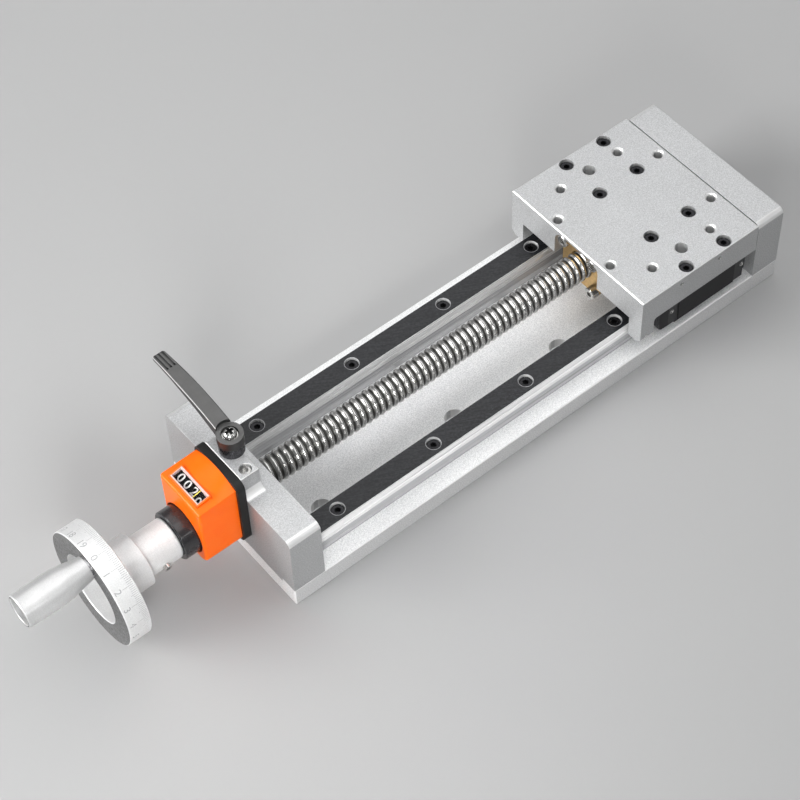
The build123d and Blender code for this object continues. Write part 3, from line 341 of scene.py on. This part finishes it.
thread = {"lead": 4.0, "crest": 7.8, "root": 6.55, "round": 0.6, "land": 0.56, "flank": 0.14, "steps": 64,
          "rows": 18, "start": -141.9, "end": 149.9, "shoulder": 6.3, "shoulderLength": 2.0, "journal": 5.0,
          "bevel": 0.4}  # land and flank are shares of the lead
dial = {"radius": 31.5, "rear": -227.9, "front": -239.3, "shortEnd": -231.2, "midEnd": -232.3,
        "longEnd": -234.4, "cutEnd": 0.06, "zero": 100.3, "ticks": 200, "depth": 0.12, "half": 0.3,
        "figure": 3.7, "figureX": -236.75, "labels": 20, "proud": 0.012}  # zero and half are degrees
grip = {"start": -241.0, "y": -3.382, "z": 58.761, "neck": 6.4, "belly": 8.8, "swell": 17.5, "flare": 0.12,
        "end": 29.5, "mouth": 8.6, "length": 36.5, "edge": 0.5, "bore": 7.25, "floor": 9.5, "hole": 4.05}

finishes = {
    "anodised": blastedAluminium("blastedAluminium"),
    "rail_steel": groundRail(),
    "carriage_steel": moulding("carriageBlack", (0.012, 0.012, 0.013), 0.5, 0.0, 0.2, 0.2, 0.25),
    "cap_plastic": moulding("capBlack", (0.009, 0.009, 0.01), 0.3, 0.15, shine=0.3),
    "seal_rubber": moulding("sealRubber", (0.02, 0.02, 0.022), 0.55, 0.0),
    "black_screws": steel("blackOxide", (0.022, 0.022, 0.024), 0.2, 0.8, 0.5),
    "zinc_screws": steel("brightZinc", (0.56, 0.555, 0.54), 0.16),
    "screw_steel": threadSteel(),
    "bearing_steel": steel("bearingSteel", (0.5, 0.5, 0.51), 0.2),
    "bronze": steel("turnedBronze", (0.6, 0.4, 0.17), 0.26, 1.0, 0.25, 0.3),
    "black_plate": moulding("plateBlack", (0.012, 0.012, 0.012), 0.5, 0.0, 0.2, shine=0.3),
    "black_collar": moulding("collarBlack", (0.014, 0.014, 0.016), 0.22, 0.3),
    "orange_plastic": moulding("orangeShell", shellOrange, 0.26, 0.2, 0.04, 0.6, 0.15),
    "pale_plastic": paleFrame(),
    "clear_plastic": clearPane(),
    "drum_plastic": moulding("drumBlack", (0.004, 0.004, 0.004), 0.6, 0.0, 0.06, 0.1, 0.12),
    "turned_aluminium": turnedAluminium("turnedAluminium"),
    "lever_coating": leverCoating(),
    "lever_steel": steel("leverSteel", (0.05, 0.05, 0.055), 0.2, 0.9),
}
special = {
    # more painted shade on the front block's ends and the base plate's sides
    "front_block": blastedAluminium("frontBlock", ends=0.8),
    "base_plate": blastedAluminium("basePlate", 1.5, 0.12, sides=0.7),
    "handle_grip": turnedAluminium("handleAluminium", (grip["y"], grip["z"]), 0.36, 0.0, 0.9, 0.7),
}
figureWhite = markPaint("figureWhite", (0.95, 0.95, 0.93))
markGrey = markPaint("markGrey", (0.36, 0.36, 0.365))
markYellow = markPaint("markYellow", (0.85, 0.7, 0.12))
slotOf = {part["node"]: part["material_slot"] for part in frame["record"]["subparts"]}
for name, node in frame["nodes"].items():
    node.data.materials.clear()
    node.data.materials.append(special.get(name, finishes[slotOf[name]]))
print("finishes on", len(slotOf), "nodes")


# Mesh helpers, in millimetres

def piece(name, points, faces, body, material, sharp=32.0):
    mesh = bpy.data.meshes.new(name)
    mesh.from_pydata([Vector(p) * mm for p in points], [], faces)
    mesh.validate()
    work = bmesh.new()
    work.from_mesh(mesh)
    bmesh.ops.remove_doubles(work, verts=work.verts, dist=1e-7)
    bmesh.ops.recalc_face_normals(work, faces=work.faces)
    work.to_mesh(mesh)
    work.free()
    mesh.materials.append(material)
    mesh.shade_smooth()
    mesh.set_sharp_from_angle(angle=radians(sharp))
    obj = bpy.data.objects.new(name, mesh)
    bpy.context.scene.collection.objects.link(obj)
    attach(obj, body)
    return obj


def lathe(profile, centre, steps=96):
    points, faces, rings = [], [], []
    for x, r in profile:
        if r == 0.0:
            rings.append([len(points)] * steps)
            points.append((x, *centre))
            continue
        rings.append(range(len(points), len(points) + steps))
        for j in range(steps):
            turn = 2 * pi * j / steps
            points.append((x, centre[0] + r * cos(turn), centre[1] + r * sin(turn)))
    for near, far in zip(rings, rings[1:]):
        for j in range(steps):
            k = (j + 1) % steps
            corners = list(dict.fromkeys((near[j], near[k], far[k], far[j])))
            if len(corners) > 2:
                faces.append(corners)
    return points, faces


def islands(name):  # the corners of each separate solid of a node, in a fixed order
    work = bmesh.new()
    work.from_mesh(frame["nodes"][name].data)
    bmesh.ops.remove_doubles(work, verts=work.verts, dist=1e-6)
    left, found = set(work.verts), []
    while left:
        stack, group = [left.pop()], []
        while stack:
            vert = stack.pop()
            group.append(vert.co.copy())
            for edge in vert.link_edges:
                other = edge.other_vert(vert)
                if other in left:
                    left.remove(other)
                    stack.append(other)
        low = Vector([min(p[i] for p in group) for i in range(3)]) / mm
        high = Vector([max(p[i] for p in group) for i in range(3)]) / mm
        found.append((low, high))
    work.free()
    return sorted(found, key=lambda corners: tuple(corners[0]))


def solid(points, faces):  # a bare mesh object for a cut
    mesh = bpy.data.meshes.new("cutter")
    mesh.from_pydata([Vector(p) * mm for p in points], [], faces)
    work = bmesh.new()
    work.from_mesh(mesh)
    bmesh.ops.recalc_face_normals(work, faces=work.faces)
    work.to_mesh(mesh)
    work.free()
    obj = bpy.data.objects.new("cutter", mesh)
    bpy.context.scene.collection.objects.link(obj)
    return obj


def carve(obj, *cutters):
    for cutter in cutters:
        step = obj.modifiers.new("carve", "BOOLEAN")
        step.operation, step.solver, step.object = "DIFFERENCE", "EXACT", cutter
        step.material_mode = "TRANSFER"
    bpy.context.view_layer.update()
    carved = bpy.data.meshes.new_from_object(obj.evaluated_get(bpy.context.evaluated_depsgraph_get()))
    obj.modifiers.clear()
    obj.data = carved
    for cutter in cutters:
        bpy.data.objects.remove(cutter)


def turned(profile, origin, along, steps=40):  # a lathe about any axis: profile of (distance, radius)
    points, faces = lathe(profile, (0.0, 0.0), steps)
    turn = Vector((1, 0, 0)).rotation_difference(Vector(along))
    return [turn @ Vector(p) + Vector(origin) for p in points], faces


lettering = {"capShare": 0.73, "slice": 0.4, "sunk": 0.02}  # capitals' share of the font's size


def figure(text, height, weight=0.0):  # flat outline triangles of one figure, sliced for bending
    curve = bpy.data.curves.new("figure", "FONT")
    curve.body, curve.size, curve.offset = text, height / lettering["capShare"], weight
    curve.align_x, curve.align_y = "CENTER", "CENTER"
    obj = bpy.data.objects.new("figure", curve)
    bpy.context.scene.collection.objects.link(obj)
    bpy.context.view_layer.update()
    mesh = bpy.data.meshes.new_from_object(obj.evaluated_get(bpy.context.evaluated_depsgraph_get()))
    bpy.data.objects.remove(obj)
    work = bmesh.new()
    work.from_mesh(mesh)
    bmesh.ops.remove_doubles(work, verts=work.verts, dist=1e-4)
    bmesh.ops.triangulate(work, faces=work.faces)
    level = -height / 2
    while level < height / 2:
        level += lettering["slice"]
        bmesh.ops.bisect_plane(work, geom=[*work.verts, *work.edges, *work.faces], plane_co=(0, level, 0),
                               plane_no=(0, 1, 0))
    work.verts.index_update()
    middle = (max(v.co.y for v in work.verts) + min(v.co.y for v in work.verts)) / 2
    points = [(v.co.x, v.co.y - middle) for v in work.verts]
    faces = [[v.index for v in face.verts] for face in work.faces]
    edges = [[v.index for v in edge.verts] for edge in work.edges if len(edge.link_faces) == 1]
    work.free()
    return points, faces, edges


def inlay(shape, bend, thickness):  # a thin raised figure: bend(u, v, w) gives its place
    flat, tris, rim = shape
    count = len(flat)
    points = [bend(u, v, w) for w in (thickness, -lettering["sunk"]) for u, v in flat]
    faces = [*tris, *[[n + count for n in reversed(t)] for t in tris]]
    faces += [[p, q, q + count, p + count] for p, q in rim]
    return points, faces


def joined(parts):
    points, faces = [], []
    for more, sides in parts:
        faces += [[n + len(points) for n in side] for side in sides]
        points += more
    return points, faces


# Lead screw: a rolled thread between two shoulders, with its plain journals

def threadRadius(u):
    half = thread["land"] / 2
    d = abs(u - 0.5)  # from the crest's middle, as a share of the lead
    shoulder = thread["crest"] - thread["round"]
    if d < half:
        return thread["crest"] - thread["round"] * (d / half) ** 2
    if d < half + thread["flank"]:
        return shoulder - (shoulder - thread["root"]) * (d - half) / thread["flank"]
    return thread["root"]


def leadScrew():
    front, rear = (corner.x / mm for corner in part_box("lead_screw"))
    start, end, shoulder = thread["start"], thread["end"], thread["shoulder"]
    rows, steps = thread["rows"], thread["steps"]
    dx = thread["lead"] / rows
    count = int((end - start) / dx) + 2 * rows + 2
    first = start - thread["lead"]
    points, faces = [], []

    def reach(i, j):
        x = first + i * dx - thread["lead"] * j / steps + thread["lead"]
        x = min(max(x, start), end)
        r = min(threadRadius((i % rows) / rows), shoulder + (x - start), shoulder + (end - x))
        turn = 2 * pi * j / steps
        return (x, r * cos(turn), axisHeight + r * sin(turn))

    for j in range(steps):
        for i in range(count):
            points.append(reach(i, j))
    for j in range(steps):
        for i in range(count - 1):
            a, b = j * count + i, j * count + i + 1
            if j + 1 < steps:
                c, d = b + count, a + count
            else:
                if i + 1 + rows >= count:
                    continue
                c, d = i + 1 + rows, i + rows
            corners = [points[n] for n in (a, b, c, d)]
            if max(p[0] for p in corners) - min(p[0] for p in corners) > 1e-6:
                faces.append((a, b, c, d))
    journal, bevel, step = thread["journal"], thread["bevel"], thread["shoulderLength"]
    for profile in (
        [(front, 0.0), (front, journal - bevel), (front + bevel, journal), (start - step, journal),
         (start - step, shoulder), (start, shoulder)],
        [(end, shoulder), (end + step, shoulder), (end + step, journal), (rear - bevel, journal),
         (rear, journal - bevel), (rear, 0.0)],
    ):
        more, sides = lathe(profile, (0.0, axisHeight), steps)
        faces += [[n + len(points) for n in side] for side in sides]
        points += more
    obj = piece("leadScrewThread", points, faces, "screw", finishes["screw_steel"], 40.0)
    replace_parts(obj, "lead_screw")


leadScrew()
print("lead screw threaded")


# Handwheel: its turned body with the graduated rim cut into it

wheel = {"hubStart": -213.2, "bore": 5.02, "hub": 14.3, "rear": -227.5, "front": -239.7, "edge": 0.4,
         "recess": 19.0, "floor": -231.1, "grubX": -220.2, "grubAngle": -60.0, "grubHole": 2.05,
         "grubFrom": 6.0, "grubDeep": 10.0, "sharp": 28.0}


def handwheel():
    angles = [radians(dial["zero"] + 360.0 * i / dial["ticks"] + off) for i in range(dial["ticks"])
              for off in (-dial["half"], 0.0, dial["half"], 180.0 / dial["ticks"])]
    r, e = dial["radius"], wheel["edge"]
    rows = [(wheel["hubStart"], wheel["bore"]), (wheel["hubStart"], wheel["hub"] - 0.3),
            (wheel["hubStart"] - 0.3, wheel["hub"]), (wheel["rear"], wheel["hub"]), (wheel["rear"], r - e),
            (dial["rear"], r)]
    for end in ("shortEnd", "midEnd", "longEnd"):
        rows += [(dial[end], r), (dial[end] - dial["cutEnd"], r)]
    rows += [(dial["front"], r), (wheel["front"], r - e), (wheel["front"], wheel["recess"] + e),
             (wheel["front"] + e, wheel["recess"]), (wheel["floor"], wheel["recess"]),
             (wheel["floor"], wheel["bore"])]
    points, faces = [], []
    for x, radius in rows:
        for j, turn in enumerate(angles):
            i, part = divmod(j, 4)
            reach = dial["longEnd"] if i % 10 == 0 else dial["midEnd"] if i % 5 == 0 else dial["shortEnd"]
            cut = dial["depth"] if part == 1 and radius == r and x >= reach else 0.0
            points.append((x, (radius - cut) * cos(turn), axisHeight + (radius - cut) * sin(turn)))
    steps = len(angles)
    for row in range(len(rows)):
        near, far = row * steps, (row + 1) % len(rows) * steps
        faces += [(near + j, near + (j + 1) % steps, far + (j + 1) % steps, far + j) for j in range(steps)]
    obj = piece("handwheelDial", points, faces, "screw", finishes["turned_aluminium"],
                wheel["sharp"])
    turn = radians(wheel["grubAngle"])
    out = (0.0, cos(turn), sin(turn))
    start = Vector((wheel["grubX"], 0.0, axisHeight)) + Vector(out) * wheel["grubFrom"]
    hole, deep = wheel["grubHole"], wheel["grubDeep"]
    carve(obj, solid(*turned([(0.0, 0.0), (0.0, hole), (deep, hole), (deep, 0.0)], start, out, 32)))
    obj.data.set_sharp_from_angle(angle=radians(wheel["sharp"]))
    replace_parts(obj, "handwheel")

    def onRim(turn):
        return lambda u, v, w: (dial["figureX"] + v, (r + w) * cos(turn + u / r),
                                axisHeight + (r + w) * sin(turn + u / r))

    labels = []
    for i in range(dial["labels"]):
        turn = radians(dial["zero"] + 360.0 / dial["labels"] * i)
        labels.append(inlay(figure(str(i), dial["figure"]), onRim(turn), dial["proud"]))
    points, faces = joined(labels)
    piece("dialFigures", points, faces, "screw", markGrey)


handwheel()
print("handwheel with", dial["ticks"], "cuts and", dial["labels"], "figures")


# Handle: the revolving grip, turned smooth

def handleGrip():
    g, rows, steps = grip, [], 16
    for n in range(steps + 1):  # a smooth swell from the neck to the belly
        t = n / steps
        radius = (2 * t ** 3 - 3 * t ** 2 + 1) * g["neck"] + (3 * t ** 2 - 2 * t ** 3) * g["belly"]
        rows.append((g["swell"] * t, radius + (t ** 3 - 2 * t ** 2 + t) * g["swell"] * g["flare"]))
    rows += [(g["end"], g["belly"]), (g["length"] - g["edge"], g["mouth"]),
             (g["length"], g["mouth"] - g["edge"]), (g["length"], g["bore"] + 0.3),
             (g["length"] - 0.3, g["bore"]), (g["floor"], g["bore"]), (g["floor"], g["hole"]),
             (0.0, g["hole"]), (0.0, g["neck"])]
    points, faces = lathe([(g["start"] - x, r) for x, r in rows], (g["y"], g["z"]), 128)
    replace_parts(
        piece("handleTurned", points, faces, "grip", special["handle_grip"], 25.0),
        "handle_grip")


handleGrip()
print("handle turned")


# Number drums: white figures round each drum, as the photograph reads

reading = {"hundreds": 0.0, "tens": 0.0, "units": 2.0, "tenths": 9.55, "height": 4.7, "wide": 1.12,
           "weight": 0.07, "proud": 0.015, "tilt": -16.5, "pitch": 36.0}


def drumFigures(name):
    low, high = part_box(f"{name}_drum")
    centre, radius = (low + high) / 2 / mm, (high.z - low.z) / 2 / mm
    labels = []
    for digit in range(10):
        middle = radians(reading["tilt"] + (reading[name] - digit) * reading["pitch"])

        def onDrum(u, v, w, middle=middle):
            turn = middle + v / radius
            return (centre.x + (radius + w) * sin(turn), centre.y - u * reading["wide"],
                    centre.z + (radius + w) * cos(turn))

        shape = figure(str(digit), reading["height"], reading["weight"])
        labels.append(inlay(shape, onDrum, reading["proud"]))
    points, faces = joined(labels)
    piece(f"{name}Figures", points, faces, name, figureWhite)


for drumName in ("hundreds", "tens", "units", "tenths"):
    drumFigures(drumName)


line = {"half": 0.28, "top": 0.02, "bottom": 0.07, "slope": 0.2}  # under the pane, which slopes


def decimalLine():
    units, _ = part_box("units_drum")
    _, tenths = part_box("tenths_drum")
    low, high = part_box("window_pane")
    y = (units.y + tenths.y) / 2 / mm
    points = []
    for x in (low.x, high.x):
        for side in (-line["half"], line["half"]):
            for thick in (line["top"], line["bottom"]):
                z = low.z / mm + line["slope"] * (x - low.x) / mm - thick
                points.append((x / mm, y + side, z))
    faces = [(0, 1, 3, 2), (4, 6, 7, 5), (0, 4, 5, 1), (2, 3, 7, 6), (0, 2, 6, 4), (1, 5, 7, 3)]
    piece("decimalLine", points, faces, "base", markYellow)


decimalLine()
print("drums read 002, the last one between 9 and 0")


# Cross-recess screws, whose plain solids have no recess

recessCross = {"width": 0.23, "reach": 0.7, "deep": 0.75, "foot": 0.55, "mouth": 1.15,
               "inside": steel("recessShade", (0.03, 0.03, 0.03), 0.4)}
washer = {"flat": 0.65, "over": 0.55, "spring": 1.6, "gap": 0.02}  # tops, and how far past the head
crossSizes = {
    "lever_screw": {"shank": 4.0, "head": 7.0, "height": 2.3, "length": 5.5, "washers": True},
    "leg_screw": {"shank": 3.0, "head": 5.5, "height": 1.5, "length": 5.0},
    "cap_screws": {"shank": 2.0, "head": 3.8, "height": 1.3, "length": 9.0},
}
leverSeat = 2.0  # under the plain screw's top


def crossScrew(seat, along, shank, head, height, length, washers=False):
    r, h = head / 2, height
    lift = 0.0
    parts = []
    if washers:
        flat, wide, top = washer["flat"], r + washer["over"], washer["spring"]
        parts.append(turned([(0.0, shank / 2), (0.0, wide - 0.1), (0.15, wide), (flat - 0.15, wide),
                             (flat, wide - 0.15), (flat, shank / 2), (0.0, shank / 2)], seat, along))
        parts.append(turned([(flat, shank / 2), (flat, r - 0.15), (flat + 0.1, r), (top - 0.1, r),
                             (top, r - 0.15), (top, shank / 2), (flat, shank / 2)], seat, along))
        lift = top + washer["gap"]
    dome = [(lift + h * sin(t), r * cos(t) ** 0.7) for t in (0.0, 0.25, 0.5, 0.75, 1.0, 1.2, 1.35, 1.47)]
    parts.append(turned([(-length, 0.0), (-length, shank / 2 - 0.4), (0.4 - length, shank / 2),
                         (lift, shank / 2), (lift, r), *dome, (lift + h, 0.0)], seat, along))
    return parts, lift


def crossCutter(seat, along, head, height, lift):
    w, reach = head * recessCross["width"] / 2, head * recessCross["reach"] / 2
    top, bottom = lift + height + 0.5, lift + height * (1.0 - recessCross["deep"])
    turn = Vector((1, 0, 0)).rotation_difference(Vector(along))
    cutters = []
    for flip in (False, True):
        points = []
        for x, share in ((bottom, recessCross["foot"]), (top, recessCross["mouth"])):
            for p, q in ((-1, -1), (1, -1), (1, 1), (-1, 1)):
                a, b = p * w * (0.8 + 0.2 * share), q * reach * share
                points.append(turn @ Vector((x, b, a) if flip else (x, a, b)) + Vector(seat))
        faces = [(3, 2, 1, 0), (4, 5, 6, 7), (0, 1, 5, 4), (1, 2, 6, 5), (2, 3, 7, 6), (3, 0, 4, 7)]
        cutters.append(solid(points, faces))
        cutters[-1].data.materials.append(recessCross["inside"])
    return cutters


def crossScrews(node, body, slot, screws):
    parts, cutters = [], []
    for screw in screws:
        made, lift = crossScrew(**screw)
        parts += made
        cutters += crossCutter(screw["seat"], screw["along"], screw["head"], screw["height"], lift)
    points, faces = joined(parts)
    obj = piece(f"{node}Cross", points, faces, body, finishes[slot], 30.0)
    carve(obj, *cutters)
    obj.data.set_sharp_from_angle(angle=radians(30.0))
    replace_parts(obj, node)


low, high = (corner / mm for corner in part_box("lever_screw"))
crossScrews("lever_screw", "lever", "zinc_screws", [
    {"seat": ((low.x + high.x) / 2, (low.y + high.y) / 2, high.z - leverSeat), "along": (0, 0, 1),
     **crossSizes["lever_screw"]}])
low, high = (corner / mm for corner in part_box("leg_screw"))
size = crossSizes["leg_screw"]
crossScrews("leg_screw", "table", "zinc_screws", [
    {"seat": ((low.x + high.x) / 2, high.y - size["height"], (low.z + high.z) / 2), "along": (0, 1, 0),
     **size}])
size, capScrews, plain = crossSizes["cap_screws"], [], islands("cap_screws")
middle = sum((low.x + high.x) / 2 for low, high in plain) / len(plain)
for low, high in plain:
    outward = 1 if (low.x + high.x) / 2 > middle else -1
    tip = high.x if outward > 0 else low.x
    seat = (tip - outward * size["height"], (low.y + high.y) / 2, (low.z + high.z) / 2)
    capScrews.append({"seat": seat, "along": (outward, 0, 0), **size})
crossScrews("cap_screws", "table", "zinc_screws", capScrews)
print("cross-recess screws:", 2 + len(capScrews))


# Plugged oil ports in the end caps' outer sides

port = {"radius": 1.3, "rim": 0.25, "proud": 0.18, "sunk": 0.25, "dish": 0.35, "drop": 5.3, "shift": 0.4}


def oilPort(node, name):
    low, high = (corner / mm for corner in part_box(node))
    side = 1 if low.y > 0 else -1
    face = high.y if side > 0 else low.y
    middle = ((low.x + high.x) / 2 + port["shift"], face - side * port["sunk"], high.z - port["drop"])
    r, e, h = port["radius"], port["rim"], port["proud"] + port["sunk"]
    dish = h - port["dish"]
    points, faces = turned([(0.0, 0.0), (0.0, r), (h - 0.1, r), (h, r - 0.1), (h, r - e),
                            (dish, r - e - 0.2), (dish, 0.0)], middle, (0, side, 0), 24)
    piece(name, points, faces, "table", finishes["zinc_screws"])


for capName in ("left_front_cap", "left_rear_cap", "right_front_cap", "right_rear_cap"):
    oilPort(capName, capName.replace("_", "") + "Port")
print("four oil ports")


# Studio: floor, lamps, world and camera

studio = {"azimuth": -36.739, "elevation": 53.299, "roll": -2.785, "eye": (-456.56, -538.41, 923.85),
          "lens": 101.01, "sensor": 36.0, "floor": (0.4, 0.4, 0.4), "reach": 4.0, "drop": 0.0002,
          "skyLow": (0.5, 0.505, 0.51), "skyHigh": (0.62, 0.625, 0.635), "skyPower": 0.5}
lamps = [
    {"name": "boxOverhead", "place": (0.4, 0.5, 1.3), "aim": (0.0, 0.0, 0.03), "size": (1.6, 1.3),
     "power": 7.2},
    {"name": "boxTop", "place": (0.1, -0.4, 1.35), "aim": (0.0, 0.0, 0.03), "size": (1.0, 0.8),
     "power": 4.2},
    {"name": "boxFront", "place": (-2.3, 1.0, 1.2), "aim": (-0.05, 0.0, 0.04), "size": (1.8, 1.2),
     "power": 80.0},
    {"name": "boxRight", "place": (0.5, -1.15, 0.75), "aim": (0.0, 0.0, 0.03), "size": (1.3, 0.05),
     "power": 1.5},
    {"name": "boxCounter", "place": (-0.72, -0.72, 0.5), "aim": (-0.25, 0.0, 0.04), "size": (0.4, 0.3),
     "power": 0.7, "spread": 50.0},
]


def studioFloor():
    mesh = bpy.data.meshes.new("studioFloor")
    reach, z = studio["reach"], -studio["drop"]
    mesh.from_pydata([(-reach, -reach, z), (reach, -reach, z), (reach, reach, z), (-reach, reach, z)], [],
                     [(0, 1, 2, 3)])
    f = Finish("floorPale")
    cloud = f.noise(f.place(), 0.004, 2.0)
    pale = studio["floor"]
    colour = f.mix(cloud.ramp(0.3, 0.7), tuple(c * 0.985 for c in pale), pale)
    mesh.materials.append(f.surface(colour=colour, rough=0.7 + cloud * 0.1))
    obj = bpy.data.objects.new("studioFloor", mesh)
    bpy.context.scene.collection.objects.link(obj)


def softbox(name, place, aim, size, power, spread=180.0):
    lamp = bpy.data.lights.new(name, "AREA")
    lamp.shape = "RECTANGLE"
    lamp.size, lamp.size_y = size
    lamp.energy, lamp.spread = power, radians(spread)
    obj = bpy.data.objects.new(name, lamp)
    obj.location = place
    obj.rotation_euler = (Vector(aim) - Vector(place)).to_track_quat("-Z", "Y").to_euler()
    bpy.context.scene.collection.objects.link(obj)


def studioWorld():
    f = Finish("studioWorld", world=True)
    _, _, up = f.split(f.add("ShaderNodeTexCoord", output="Generated"))
    tone = f.mix(up.ramp(-0.1, 0.9), studio["skyLow"], studio["skyHigh"])
    light = f.add("ShaderNodeBackground", {}, {"Color": tone, "Strength": studio["skyPower"]})
    f.add("ShaderNodeOutputWorld", {}, {0: light})
    bpy.context.scene.world = f.block


def studioCamera():
    a, e, r = (radians(studio[k]) for k in ("azimuth", "elevation", "roll"))
    back = Vector((sin(a) * cos(e), -cos(a) * cos(e), sin(e)))
    right = Vector((cos(a), sin(a), 0.0))
    up = back.cross(right)
    right, up = right * cos(r) + up * sin(r), up * cos(r) - right * sin(r)
    lens = bpy.data.cameras.new("studioCamera")
    lens.lens = studio["lens"]
    lens.sensor_width = studio["sensor"]
    lens.clip_start, lens.clip_end = 0.01, 50.0
    obj = bpy.data.objects.new("studioCamera", lens)
    turn = Matrix((right, up, back)).transposed().to_4x4()
    obj.matrix_world = Matrix.Translation(Vector(studio["eye"]) * mm) @ turn
    bpy.context.scene.collection.objects.link(obj)
    bpy.context.scene.camera = obj


studioFloor()
for lamp in lamps:
    softbox(**lamp)
studioWorld()
studioCamera()
bpy.context.scene.view_settings.view_transform = "Standard"
print("studio set")
